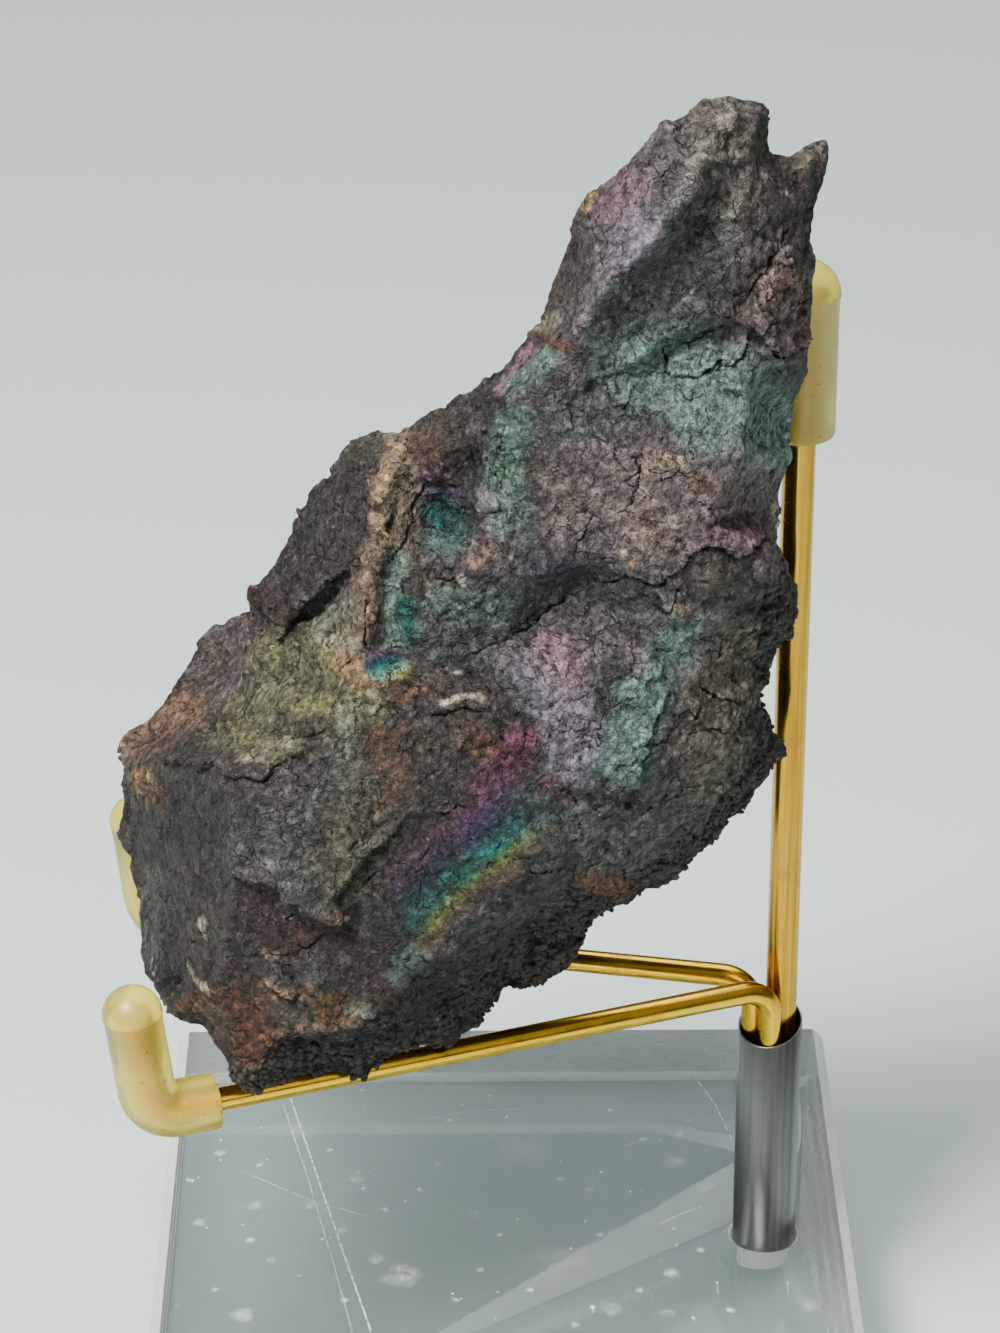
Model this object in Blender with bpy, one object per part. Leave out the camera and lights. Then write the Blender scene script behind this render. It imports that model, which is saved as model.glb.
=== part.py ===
"""A tarnished piece of limonite leaning on a brass wire stand with a clear acrylic foot.

Lengths are in millimetres until solid() scales a finished mesh to metres. Z is up, the stone's
broad face looks along -Y, and the origin is the middle of the foot's underside.
"""
import math

import bmesh
import bpy
from mathutils import Matrix, Vector, noise
from mathutils.geometry import delaunay_2d_cdt

MM = 0.001
GAP = 0.3                    # left between the stone and what carries it

# Foot: a clear slab with a blind hole
FOOT_WIDTH, FOOT_DEPTH, FOOT_HEIGHT = 88.9, 101.6, 19.05
FOOT_BEVEL = 0.6
HOLE_RADIUS, HOLE_DEPTH = 4.3, 9.5

# Tube: a thin steel sleeve with a slanted mouth
TUBE_X = 33.2
TUBE_RADIUS, TUBE_BORE = 4.0, 3.75
TUBE_TOP = FOOT_HEIGHT + 31.7
MOUTH_RISE_X, MOUTH_RISE_Y = 0.14, 0.34

# Wires, packed side by side in the tube
ARM_RADIUS, POST_RADIUS = 1.45, 1.95
WIRE_GAP = 0.13
WIRE_FOOT = FOOT_HEIGHT - HOLE_DEPTH + 2.0
WIRE_SIDES = 14
POST_BEARING, FRONT_BEARING, REAR_BEARING = 40.0, -95.7, 175.7
ARM_HEIGHT = FOOT_HEIGHT + 38.0
ARM_BEND, BEND_STEPS = 3.9, 5
FRONT_ELBOW = (-42.2, -30.1)
REAR_ELBOW = (-44.4, 15.4)
ARM_RISE, ARM_LEAN = 13.8, 1.7
POST_TOP = FOOT_HEIGHT + 129.0

# Sleeves: each is a tube with a slightly wider ball at its closed end
SLEEVE_RADIUS, SLEEVE_BALL = 3.45, 3.6
SLEEVE_LENGTH = 20.6
POST_SLEEVE_RADIUS, POST_SLEEVE_BALL = 4.15, 4.3
POST_SLEEVE_LENGTH = 17.2
SLEEVE_CLEAR = 0.2
SLEEVE_SIDES, BALL_STEPS = 16, 5
CROWN_RADIUS = 0.25

# Stone
STONE_VOXEL = 0.6
STONE_TRIANGLES = 6800
STONE_SEED = Vector((13.7, 4.1, 27.9))


# Materials

def material(name, colour, roughness, metallic=0.0, see_through=0.0):
    """A plain Principled material for one sub-part."""
    made = bpy.data.materials.new(name)
    made.use_nodes = True
    shader = made.node_tree.nodes["Principled BSDF"]
    shader.inputs["Base Color"].default_value = (*colour, 1.0)
    shader.inputs["Roughness"].default_value = roughness
    shader.inputs["Metallic"].default_value = metallic
    shader.inputs["Transmission Weight"].default_value = see_through
    made.diffuse_color = (*colour, 1.0)
    return made


# Mesh helpers

def ring_points(centre, across, up, radius, sides):
    """Points of a circle round centre, in the plane of the unit vectors across and up."""
    turns = [2 * math.pi * step / sides for step in range(sides)]
    return [centre + radius * (math.cos(a) * across + math.sin(a) * up) for a in turns]


def skin(rings, looped=False):
    """A closed mesh over rings of points; its two ends are filled unless the rings form a loop."""
    mesh = bmesh.new()
    rows = [[mesh.verts.new(point) for point in ring] for ring in rings]
    sides = len(rows[0])
    pairs = list(zip(rows, rows[1:]))
    if looped:
        pairs.append((rows[-1], rows[0]))
    for low, high in pairs:
        for side in range(sides):
            after = (side + 1) % sides
            mesh.faces.new((low[side], low[after], high[after], high[side]))
    if not looped:
        mesh.faces.new(rows[0][::-1])
        mesh.faces.new(rows[-1])
    bmesh.ops.recalc_face_normals(mesh, faces=mesh.faces)
    return mesh


def solid(name, mesh, finish, smooth=True):
    """The millimetre bmesh as an object in metres, shaded smooth between its sharp edges."""
    bmesh.ops.scale(mesh, vec=(MM, MM, MM), verts=mesh.verts)
    data = bpy.data.meshes.new(name)
    mesh.to_mesh(data)
    mesh.free()
    if smooth:
        data.shade_smooth()
        data.set_sharp_from_angle(angle=math.radians(35))
    made = bpy.data.objects.new(name, data)
    bpy.context.scene.collection.objects.link(made)
    if finish is not None:
        made.data.materials.append(finish)
    return made


def hidden_cutter(name, mesh):
    """A cutter, kept out of the model."""
    made = solid(name, mesh, None)
    made.hide_render = True
    made.display_type = "WIRE"
    return made


def cut(target, cutter):
    """Takes the cutter's shape out of the target."""
    modifier = target.modifiers.new("cut " + cutter.name, "BOOLEAN")
    modifier.operation = "DIFFERENCE"
    modifier.solver = "EXACT"
    modifier.object = cutter


# Bent wires and what follows them

def bent_route(corners, bend):
    """Points along straight runs between corners, with an arc of the given radius at each corner."""
    route = [corners[0]]
    for before, corner, after in zip(corners, corners[1:], corners[2:]):
        inwards = (before - corner).normalized()
        onwards = (after - corner).normalized()
        half = inwards.angle(onwards) / 2
        back = min(bend / math.tan(half), 0.45 * (before - corner).length)
        radius = back * math.tan(half)
        centre = corner + (inwards + onwards).normalized() * radius / math.sin(half)
        start = corner + inwards * back - centre
        turn = math.pi - 2 * half
        axis = start.cross(corner + onwards * back - centre).normalized()
        for step in range(BEND_STEPS + 1):
            part_turn = Matrix.Rotation(turn * step / BEND_STEPS, 3, axis)
            route.append(centre + part_turn @ start)
    route.append(corners[-1])
    return route


def route_frames(route):
    """Position, direction and two cross directions at each point, carried along without twist."""
    frames = []
    across = None
    for index, point in enumerate(route):
        ahead = route[min(index + 1, len(route) - 1)] - route[max(index - 1, 0)]
        ahead = ahead.normalized()
        if across is None:
            across = ahead.orthogonal().normalized()
        across = (across - ahead * across.dot(ahead)).normalized()
        frames.append((point, ahead, across, ahead.cross(across)))
    return frames


def wire(route, radius):
    """A round rod along the route."""
    return skin([ring_points(point, across, up, radius, WIRE_SIDES)
                 for point, _, across, up in route_frames(route)])


def last_stretch(route, length):
    """The part of the route that ends with it and has the given length."""
    kept = [route[-1]]
    for near, far in zip(route[::-1], route[-2::-1]):
        step = (far - near).length
        if step > length:
            kept.append(near + (far - near) * length / step)
            break
        length -= step
        kept.append(far)
    return kept[::-1]


def ball_ended(route, radius, ball):
    """Rings along the route that close in a ball over its end."""
    frames = route_frames(route)
    rings = [ring_points(point, across, up, radius, SLEEVE_SIDES)
             for point, _, across, up in frames]
    tip, ahead, across, up = frames[-1]
    for step in range(BALL_STEPS):
        angle = math.pi / 2 * step / BALL_STEPS
        rings.append(ring_points(tip + ahead * ball * math.sin(angle), across, up,
                                 ball * math.cos(angle), SLEEVE_SIDES))
    rings.append(ring_points(tip + ahead * ball, across, up, CROWN_RADIUS, SLEEVE_SIDES))
    return rings


def sleeve(route, radius, ball, bore):
    """A sleeve over the end of a wire, open where the route starts."""
    inner = [ring_points(point, across, up, bore, SLEEVE_SIDES)
             for point, _, across, up in route_frames(route)]
    return skin(inner[::-1] + ball_ended(route, radius, ball))


# Sight lines of the photograph, which place the stone's visible landmarks

EYE = Vector((-5.1, -476.1, 325.4 + FOOT_HEIGHT))
SIGHT_TILT, SIGHT_TURN = math.radians(27.10), math.radians(0.54)
SIGHT_CENTRE = (500.0, 666.5)
SIGHT_FOCAL = 4460.0
SIGHT_RIGHT = Vector((math.cos(SIGHT_TURN), -math.sin(SIGHT_TURN), 0.0))
SIGHT_LEVEL = Vector((math.sin(SIGHT_TURN), math.cos(SIGHT_TURN), 0.0))
SIGHT_AHEAD = SIGHT_LEVEL * math.cos(SIGHT_TILT) - Vector((0, 0, math.sin(SIGHT_TILT)))
SIGHT_UP = SIGHT_LEVEL * math.sin(SIGHT_TILT) + Vector((0, 0, math.cos(SIGHT_TILT)))


def sighted(photo_x, photo_y, depth):
    """The point on a photo pixel's sight line that lies at Y = depth."""
    line = (SIGHT_AHEAD
            + SIGHT_RIGHT * (photo_x - SIGHT_CENTRE[0]) / SIGHT_FOCAL
            + SIGHT_UP * (SIGHT_CENTRE[1] - photo_y) / SIGHT_FOCAL)
    return EYE + line * (depth - EYE.y) / line.y


def in_photo(point):
    """The photo pixel that shows a point."""
    away = point - EYE
    scale = SIGHT_FOCAL / away.dot(SIGHT_AHEAD)
    return Vector((SIGHT_CENTRE[0] + scale * away.dot(SIGHT_RIGHT),
                   SIGHT_CENTRE[1] - scale * away.dot(SIGHT_UP)))


# The stone's outline as the photograph shows it, clockwise from the summit. Each landmark is
# photo x, photo y and its depth Y.
OUTLINE = {
    "summit": [(698, 101, -14), (713, 96, -13), (728, 91, -12), (744, 96, -11.5),
               (764, 101, -11), (769, 110, -11), (769, 126, -11), (771, 149, -10)],
    "horn": [(774.5, 157, -8.5), (788, 153, -7.5), (805, 148, -6.5), (825, 139, -5.5),
             (828, 162, -6), (819, 188, -6.5), (817, 213, -7), (811.5, 236, -8)],
    "shoulder": [(819, 264, -8.5), (813, 301, -8.5), (815.5, 308, -8.5), (810.5, 323, -8.5),
                 (809, 343, -8.5), (809.5, 368, -8.5), (808, 389, -8), (801, 404, -8),
                 (794, 422.5, -8), (790.5, 434, -8), (793, 457, -8), (786, 476, -8.5),
                 (782, 489, -9), (775.5, 510, -9.5), (781, 528, -9), (791, 563, -7.5),
                 (798, 580, -7)],
    "lumpy right edge": [(795, 599.5, -7), (797, 610, -6.5), (789, 621, -7), (784, 636.5, -8),
                         (782, 647, -8), (771, 656, -9), (772.5, 672, -9), (767, 685, -9.5),
                         (761, 689, -10), (766, 710.5, -9.5), (776, 724.5, -8.5),
                         (784.5, 749, -8), (785, 756, -8), (770.5, 765, -9), (768, 780, -9.5),
                         (758, 790, -10), (747.5, 799, -10.5)],
    "lower right": [(730, 818, -12), (715, 834, -13), (700, 850.5, -14), (675, 876, -15),
                    (649.5, 891, -15), (629, 901.5, -15), (598.5, 912, -14.5)],
    "grainy underside": [(596, 919, -12.5), (588, 932, -11), (579, 942, -10), (577, 955, -9),
                         (570, 968, -8.5), (550, 979, -8.5), (537, 987, -9), (501.5, 988, -9),
                         (494, 998.5, -11)],
    "bottom": [(477, 1023, -17), (457, 1041, -19), (432, 1048, -20), (420, 1044, -20.5),
               (395, 1051.5, -22), (383, 1059, -23), (368, 1076, -24.5), (356, 1083, -24.8),
               (345, 1078, -24.8), (344, 1066, -24.2), (319, 1074, -25), (294, 1076, -26),
               (270, 1090, -27.5), (250, 1096, -28.7), (240, 1085, -28.5)],
    "left wedge": [(228, 1064, -28), (216, 1047, -27.5), (208.5, 1037, -27), (205, 1025, -26),
                   (187, 1020, -25), (172, 1017.5, -23.5), (162, 1013, -22), (155, 993, -18),
                   (144, 981, -14), (140.5, 964, -11)],
    "left side": [(142, 940, -8), (139, 916, -5), (132, 877, -2), (126, 850, -0.5),
                  (119, 841, 0), (119, 828.5, 0.5), (122, 807, 1.5), (119, 780, 3),
                  (122, 755, 4.5), (117, 746.5, 6), (119, 738, 7)],
    "rear block": [(138.5, 727, 8), (167, 699, 9), (174, 679, 10), (193, 658, 11),
                   (196, 642, 11.5), (212, 623, 12), (230, 613, 11), (245, 606, 8)],
    "left block": [(247, 600, -8), (247, 587, -10), (268.5, 573, -9.5), (274, 556, -9.5),
                   (294, 520, -8.5), (310, 495, -8), (325, 482, -7.5), (335, 456.5, -6),
                   (353, 436, -5), (376, 428.5, -5), (396, 433.5, -7)],
    "left flank": [(412, 426, -9), (435, 408, -10), (455, 393, -11), (475.5, 381, -12),
                   (500, 365, -13), (520, 345, -13.5), (540, 320, -14), (550, 290, -14),
                   (560, 264, -14), (565, 239, -14), (573, 213, -14), (591, 185, -15),
                   (604, 182, -16), (621, 167, -17), (649.5, 139, -17), (657, 129, -16),
                   (678, 119, -15)],
}

# Ridges, valleys and edges seen on the stone, in the same form. Creases run along each list.
SEEN = {
    "spire ridge": [(700, 122, -17.5), (697, 160, -20), (688, 190, -22.5), (662, 222, -24.5),
                    (640, 247, -25), (612, 278, -25), (588, 305, -24.5), (570, 338, -24),
                    (552, 360, -23), (530, 398, -22.5), (502, 440, -22.5)],
    "spire valley": [(738, 182, -16.5), (702, 235, -19.5), (672, 285, -21), (640, 325, -21.5),
                     (612, 362, -22)],
    "brown rib": [(757, 172, -16), (737, 215, -19), (724, 262, -20.5), (722, 300, -20)],
    "summit block": [(712, 135, -18.5), (735, 120, -17), (757, 125, -15.5), (752, 152, -16.5),
                     (722, 167, -19.5), (704, 163, -19.8)],
    "under the summit": [(728, 177, -17)],
    "horn seam": [(778, 165, -11), (783, 200, -13), (786, 228, -13.5)],
    "horn face": [(806, 160, -9.5), (810, 190, -10), (797, 215, -11.5), (803, 245, -11.5)],
    "flap upper edge": [(733, 317, -19.5), (752, 292, -19), (770, 262, -17), (788, 247, -15.5),
                        (806, 268, -12.5)],
    "flap crest": [(758, 312, -20.8), (775, 288, -19), (795, 275, -15.5)],
    "flap lower edge": [(754, 323, -20.5), (766, 336, -20.3), (776, 355, -19.2),
                        (785, 360, -18), (803, 347, -13)],
    "under the flap": [(750, 330, -17.3), (762, 344, -17.3), (773, 364, -17), (787, 370, -16),
                       (804, 358, -12)],
    "ledge lip": [(722, 322, -20.3), (702, 325, -20.6), (680, 335, -21), (655, 343, -21.8),
                  (638, 364, -22.3)],
    "ledge foot": [(722, 330, -18), (704, 334, -18.3), (682, 344, -18.6), (664, 351, -18.8),
                   (647, 373, -19.8), (618, 380, -21.4)],
    "light step": [(665, 402, -22), (702, 382, -20.6), (745, 380, -19.3), (786, 395, -14.5)],
    "step brow": [(628, 452, -25), (662, 462, -25.7), (702, 464, -25.2), (742, 460, -23.6),
                  (776, 462, -17)],
    "broad face": [(560, 420, -24.2), (532, 470, -24), (575, 490, -25.6), (600, 525, -26.3),
                   (650, 530, -26.7), (700, 528, -25.8), (742, 538, -22.8), (768, 545, -18.5)],
    "pink zone": [(622, 558, -26.3), (672, 575, -26.4), (722, 562, -24.6), (762, 575, -20),
                  (783, 590, -13.5)],
    "brow of the great crack": [(452, 640, -26), (485, 612, -25.3), (520, 585, -25.8),
                                (560, 560, -26.2), (592, 556, -26)],
    "great crack": [(432, 672, -27), (470, 662, -26.3), (500, 643, -24.8), (545, 616, -23.4),
                    (585, 584, -23.7)],
    "lavender swell": [(512, 668, -27.5), (545, 690, -29.3), (562, 735, -31.3),
                       (590, 758, -31.2)],
    "swell edge": [(585, 635, -26.6), (600, 665, -28), (606, 705, -29.8), (612, 750, -30.4)],
    "teal step": [(655, 645, -27.6), (640, 690, -29), (642, 740, -29.6), (636, 778, -29.8)],
    "right face": [(705, 625, -25.2), (702, 695, -25), (745, 690, -19.5), (682, 760, -27),
                   (722, 745, -23), (755, 728, -15.5)],
    "right rim": [(772, 603, -15), (762, 640, -14.5), (755, 668, -14), (757, 700, -14),
                  (768, 742, -13.2)],
    "dark wedge lip": [(757, 776, -14), (738, 786, -16.5), (722, 800, -17.5), (712, 824, -16.8)],
    "dark wedge": [(752, 787, -11.6), (733, 808, -12.8)],
    "lower right swell": [(702, 795, -22.3), (662, 820, -25), (690, 838, -18.5),
                          (645, 862, -22), (620, 885, -19.5)],
    "hollow": [(440, 505, -16.8), (462, 522, -17.6), (447, 545, -20.5), (422, 548, -19.8),
               (428, 520, -17.2)],
    "hollow roof": [(415, 472, -17.5), (437, 478, -18.8), (466, 480, -20.3), (482, 500, -22.8)],
    "maroon band": [(425, 450, -16.8), (452, 452, -19.3), (478, 455, -21.3)],
    "hollow right rib": [(486, 520, -23.8), (492, 548, -25), (475, 572, -25.6),
                         (448, 575, -24.4), (425, 570, -22.8)],
    "flank band": [(440, 424, -14.5), (470, 410, -17.5), (492, 396, -18.6), (506, 412, -21.2)],
    "tan ridge": [(402, 442, -13.4), (386, 470, -18.3), (376, 500, -21), (373, 540, -22.6),
                  (366, 572, -23.3), (364, 610, -24.8), (365, 650, -26.3)],
    "channel": [(395, 500, -19.3), (396, 532, -20), (385, 562, -20.6), (384, 600, -21.8),
                (384, 642, -23.6)],
    "channel right wall": [(409, 520, -19.6), (407, 556, -21.8), (401, 600, -22.6),
                           (404, 642, -24.6)],
    "beside the channel": [(430, 600, -24.6), (423, 626, -25.4), (436, 648, -26.2),
                           (462, 606, -25.2)],
    "bright shelf": [(370, 662, -27), (388, 667, -27), (412, 664, -26.7), (436, 662, -26.8)],
    "shelf lip": [(362, 695, -28.8), (400, 694, -29.6), (440, 700, -30), (485, 704, -30.2),
                  (520, 715, -30.5)],
    "shelf middle": [(402, 680, -28.4), (445, 684, -28.6), (492, 684, -28.6)],
    "block ridge": [(385, 448, -12), (362, 482, -17.3), (352, 522, -18.8)],
    "block face": [(352, 460, -11.5), (332, 502, -14), (318, 545, -15.2), (290, 575, -14.2),
                   (262, 605, -12.5)],
    "block lip": [(362, 562, -20.8), (331, 581, -18), (300, 608, -15.8), (280, 633, -14),
                  (257, 650, -12.8)],
    "under the block": [(364, 570, -19), (335, 588, -15), (305, 615, -12.8), (285, 640, -11.3)],
    "ledge slope": [(350, 605, -20.5), (330, 625, -18), (300, 630, -14.8), (268, 662, -13.2),
                    (345, 650, -24.2), (318, 662, -21), (292, 668, -17)],
    "ledge rim": [(254, 657, -11.2), (244, 668, -10), (235, 690, -8.3), (212, 712, -7.3),
                  (190, 737, -7.3), (171, 757, -8.3)],
    "behind the rim": [(247, 655, 3), (237, 667, 4), (226, 687, 4.5), (204, 706, 4.2),
                       (182, 729, 3), (163, 750, 0)],
    "rear block face": [(234, 638, 7.5), (205, 650, 9.5), (215, 680, 7), (186, 688, 8),
                        (160, 715, 7), (182, 710, 5), (145, 742, 5), (132, 760, 2.5)],
    "ochre chips": [(152, 768, -4), (160, 790, -8), (140, 798, -4.5), (150, 812, -8)],
    "ledge middle": [(215, 738, -14.5), (250, 715, -19), (290, 700, -23), (320, 695, -25)],
    "ledge brow": [(168, 768, -12), (200, 765, -20.5), (230, 764, -27.5), (268, 760, -30),
                   (300, 742, -29.8), (332, 722, -29.3), (345, 703, -28.6)],
    "left face": [(200, 800, -24), (163, 830, -13.5), (140, 835, -6), (192, 880, -23.5),
                  (157, 880, -12), (197, 940, -25.5), (163, 940, -16), (150, 955, -12)],
    "left pit": [(170, 968, -19), (168, 990, -20)],
    "left chips": [(188, 985, -27), (197, 1003, -28), (215, 1012, -30), (180, 1006, -26)],
    "front corner": [(240, 775, -30.5), (238, 830, -31.2), (236, 880, -31.8), (228, 930, -32),
                     (222, 980, -32.3), (229, 1020, -32), (243, 1058, -31.3),
                     (249, 1082, -29.8)],
    "lower face": [(275, 800, -31.8), (305, 775, -31.2), (335, 742, -30.2), (365, 722, -30),
                   (305, 850, -33.4), (345, 800, -32.6), (385, 760, -31.5)],
    "plate edge": [(262, 885, -34.3), (291, 896, -35), (313, 912, -35.5), (340, 921, -35.7),
                   (347, 893, -34.8), (362, 860, -34.2)],
    "under the plate": [(272, 905, -32.9), (300, 925, -33.4), (334, 933, -33.6),
                        (360, 915, -33.6)],
    "lower apron": [(250, 930, -32.6), (262, 955, -33), (302, 962, -33.6), (352, 950, -34),
                    (390, 925, -34)],
    "pale crest": [(268, 992, -34.8), (290, 998, -35.2), (311, 985, -35.2)],
    "apron foot": [(252, 1056, -32.6), (282, 1026, -34.2), (320, 1026, -34.8),
                   (352, 1027, -34.2), (385, 1000, -33.8)],
    "black crust": [(300, 1042, -31), (332, 1048, -30.8), (362, 1050, -30), (404, 1036, -26),
                    (432, 1010, -28.5), (400, 1012, -31)],
    "under the crust": [(278, 1070, -29.8), (302, 1062, -28.3)],
    "film face": [(402, 725, -30.8), (452, 728, -31), (500, 730, -31.2), (430, 785, -32.4),
                  (500, 785, -32.6), (552, 792, -32.8), (602, 792, -31), (450, 850, -33.4),
                  (520, 842, -33.2), (582, 838, -30.8)],
    "belly": [(420, 920, -34), (480, 900, -33.2), (548, 872, -31), (590, 872, -27.4),
              (450, 952, -33.2), (492, 935, -30)],
    "granular lip": [(462, 975, -27), (498, 940, -26.6), (540, 905, -26), (574, 903, -24)],
    "granular face": [(520, 945, -19), (560, 928, -17.6), (588, 916, -16)],
    "granular foot": [(566, 950, -12.6), (545, 962, -13.5), (510, 972, -14.5)],
}

# The hidden back and underside, as X, Y and height over the foot
HIDDEN = {
    "spire back": [(20, -7.5, 152), (28, -6, 146), (12, -8, 141), (7, -6, 131), (16, -4.3, 134),
                   (26, -4, 136), (31, -4.6, 143)],
    "along the sleeve": [(27, -3.9, 126), (27, -3.8, 118), (26.5, -3.8, 110), (20, -1.5, 120),
                         (31, -4.4, 122), (31, -4.6, 112)],
    "left shoulder": [(0, -4, 121), (4, -1, 124), (-8, -1, 113), (10, 0.5, 115),
                      (-16, 1, 107), (-21, -2, 103)],
    "upper hollow": [(0, 4, 108), (10, 5, 104), (20, 2.5, 102), (-10, 5, 101)],
    "back ridge": [(-22, 6, 96), (-12, 10.5, 92), (0, 11.5, 93), (11, 10, 90), (20, 5, 92),
                   (27, -0.8, 97)],
    "back face": [(-30, 15, 84), (-20, 15.5, 82), (-8, 14.5, 80), (4, 13.5, 79), (14, 10, 77),
                  (24, 3, 80), (30, -2.5, 82)],
    "back foot": [(-40, 15, 72), (-31, 19.5, 68), (-20, 19, 66), (-8, 17, 63), (3, 14, 62),
                  (13, 8, 63), (21, -1, 66), (26, -6, 68)],
    "low back": [(-42, 10, 60), (-34, 17, 54), (-24, 17.5, 50), (-12, 15, 48), (0, 10, 49),
                 (9, 3, 53), (15, -6, 58)],
    "rest on the rear arm": [(-35, 14.5, 41.5), (-27, 13.2, 39.4), (-16, 11, 39.3),
                             (-6, 8.5, 39.6), (0, 4, 42)],
    "keel": [(-40, 6, 48), (-38, -6, 46), (-30, 2, 43.5), (-20, -2, 42), (-9, -3, 42.5),
             (-2, -5, 43.5), (-33, -16, 43), (-22, -12, 42.5), (-12, -12, 42)],
    "rest on the front arm": [(-31, -24.5, 40.3), (-23, -21.5, 39.4), (-12, -17.5, 39.6)],
}


def along(points, longest):
    """The polyline's points with more put in, so that no step is longer."""
    dense = []
    for near, far in zip(points, points[1:]):
        steps = max(1, math.ceil((Vector(far[:2]) - Vector(near[:2])).length / longest))
        dense += [tuple(a + (b - a) * step / steps for a, b in zip(near, far))
                  for step in range(steps)]
    return dense + [points[-1]]


def rim(outline, inset, deeper):
    """Landmarks a little inside the outline, which keep the stone's edge from being a knife's."""
    inside = []
    count = len(outline)
    flat = [Vector(point[:2]) for point in outline]
    for index, (x, y, depth) in enumerate(outline):
        run = flat[(index + 1) % count] - flat[index - 1]
        place = flat[index] + Vector((-run.y, run.x)).normalized() * inset
        nearest = min((place - other).length for other in flat)
        if nearest > 0.9 * inset:
            inside.append((place.x, place.y, depth + deeper))
    return inside


def relief(outline, lines, loose):
    """Triangles over the outline, creased along the lines; returns landmarks and triangles."""
    landmarks = list(outline)
    edges = []
    for line in lines:
        first = len(landmarks)
        landmarks += line
        edges += [(first + step, first + step + 1) for step in range(len(line) - 1)]
    landmarks += loose
    places = [Vector(landmark[:2]) for landmark in landmarks]
    rim_loop = [list(range(len(outline)))]
    found, _, faces, origins, _, _ = delaunay_2d_cdt(places, edges, rim_loop, 1, 1e-5)
    for place, origin in zip(found, origins):
        if not origin:
            raise ValueError(f"two creases cross near photo pixel {place}")
    return landmarks, [[origins[corner][0] for corner in face] for face in faces]


def ears_of(faces, outline_length):
    """The triangles whose three corners all lie on the outline."""
    return {frozenset(face) for face in faces if max(face) < outline_length}


def stone_blank():
    """The closed stone before its surface is broken up: seen side and hidden side on one outline."""
    outline = [point for part in OUTLINE.values() for point in part]
    longest_step, rim_inset, seen_round, hidden_round = 14.0, 9.0, -1.3, 2.2
    outline = along(outline + outline[:1], longest_step)[:-1]
    seen_marks, seen_faces = relief(outline, list(SEEN.values()),
                                    rim(outline, rim_inset, seen_round))
    hidden = []
    for line in HIDDEN.values():
        for x, y, height in line:
            pixel = in_photo(Vector((x, y, height + FOOT_HEIGHT)))
            hidden.append((pixel.x, pixel.y, y))
    hidden_marks, hidden_faces = relief(outline, [], rim(outline, rim_inset, hidden_round) + hidden)
    mesh = bmesh.new()
    shared = [mesh.verts.new(sighted(*mark)) for mark in outline]
    front = shared + [mesh.verts.new(sighted(*mark)) for mark in seen_marks[len(outline):]]
    back = shared + [mesh.verts.new(sighted(*mark)) for mark in hidden_marks[len(outline):]]
    ears = ears_of(seen_faces, len(outline)) & ears_of(hidden_faces, len(outline))
    for side, faces in ((front, seen_faces), (back, hidden_faces)):
        for corners in faces:
            if frozenset(corners) not in ears:
                mesh.faces.new([side[corner] for corner in corners])
    bmesh.ops.recalc_face_normals(mesh, faces=mesh.faces)
    return solid("stone blank", mesh, None, smooth=False)


def evaluated_copy(made):
    """The object's mesh with its modifiers applied, as a bmesh in millimetres."""
    mesh = bmesh.new()
    mesh.from_object(made, bpy.context.evaluated_depsgraph_get())
    bmesh.ops.scale(mesh, vec=(1 / MM, 1 / MM, 1 / MM), verts=mesh.verts)
    return mesh


def broken_up(mesh):
    """Moves the surface by lumps, fracture steps and pits."""
    lump, step, pit = 13.0, 6.0, 2.6
    lump_height, step_height, pit_height = 0.4, 0.36, 0.2
    mesh.normal_update()
    moves = []
    for vert in mesh.verts:
        place = vert.co + STONE_SEED
        swell = noise.noise(place / lump)
        cell = noise.voronoi(place / step, distance_metric="DISTANCE")[0]
        fracture = min(1.0, (cell[1] - cell[0]) * 2.5) - 0.6
        pitting = noise.fractal(place / pit, 1.0, 2.0, 2)
        moves.append(vert.normal * (lump_height * swell + step_height * fracture
                                    + pit_height * pitting))
    for vert, move in zip(mesh.verts, moves):
        vert.co += move
    return mesh


# The pieces

def build_foot(finish):
    mesh = bmesh.new()
    bmesh.ops.create_cube(mesh, size=1.0)
    bmesh.ops.scale(mesh, vec=(FOOT_WIDTH, FOOT_DEPTH, FOOT_HEIGHT), verts=mesh.verts)
    bmesh.ops.translate(mesh, vec=(0, 0, FOOT_HEIGHT / 2), verts=mesh.verts)
    bmesh.ops.bevel(mesh, geom=mesh.edges[:], offset=FOOT_BEVEL, segments=1, affect="EDGES")
    foot = solid("base", mesh, finish)
    floor = FOOT_HEIGHT - HOLE_DEPTH
    turns = (Vector((TUBE_X, 0, height)) for height in (floor, FOOT_HEIGHT + 2.0))
    hole = skin([ring_points(centre, Vector((1, 0, 0)), Vector((0, 1, 0)), HOLE_RADIUS, 32)
                 for centre in turns])
    cut(foot, hidden_cutter("hole cutter", hole))
    return foot


def build_tube(finish):
    floor = FOOT_HEIGHT - HOLE_DEPTH + GAP
    rings = []
    for radius, at_mouth in ((TUBE_BORE, False), (TUBE_BORE, True),
                             (TUBE_RADIUS, True), (TUBE_RADIUS, False)):
        ring = ring_points(Vector((TUBE_X, 0, floor)), Vector((1, 0, 0)), Vector((0, 1, 0)),
                           radius, 32)
        if at_mouth:
            for point in ring:
                point.z = TUBE_TOP + MOUTH_RISE_X * (point.x - TUBE_X) + MOUTH_RISE_Y * point.y
        rings.append(ring)
    return solid("tube", skin(rings, looped=True), finish)


def place_in_tube(bearing, radius):
    """Where a wire of this radius stands against the tube's bore, in the given direction."""
    out = TUBE_BORE - radius - WIRE_GAP / 2
    turn = math.radians(bearing)
    return Vector((TUBE_X + out * math.cos(turn), out * math.sin(turn), 0.0))


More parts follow.
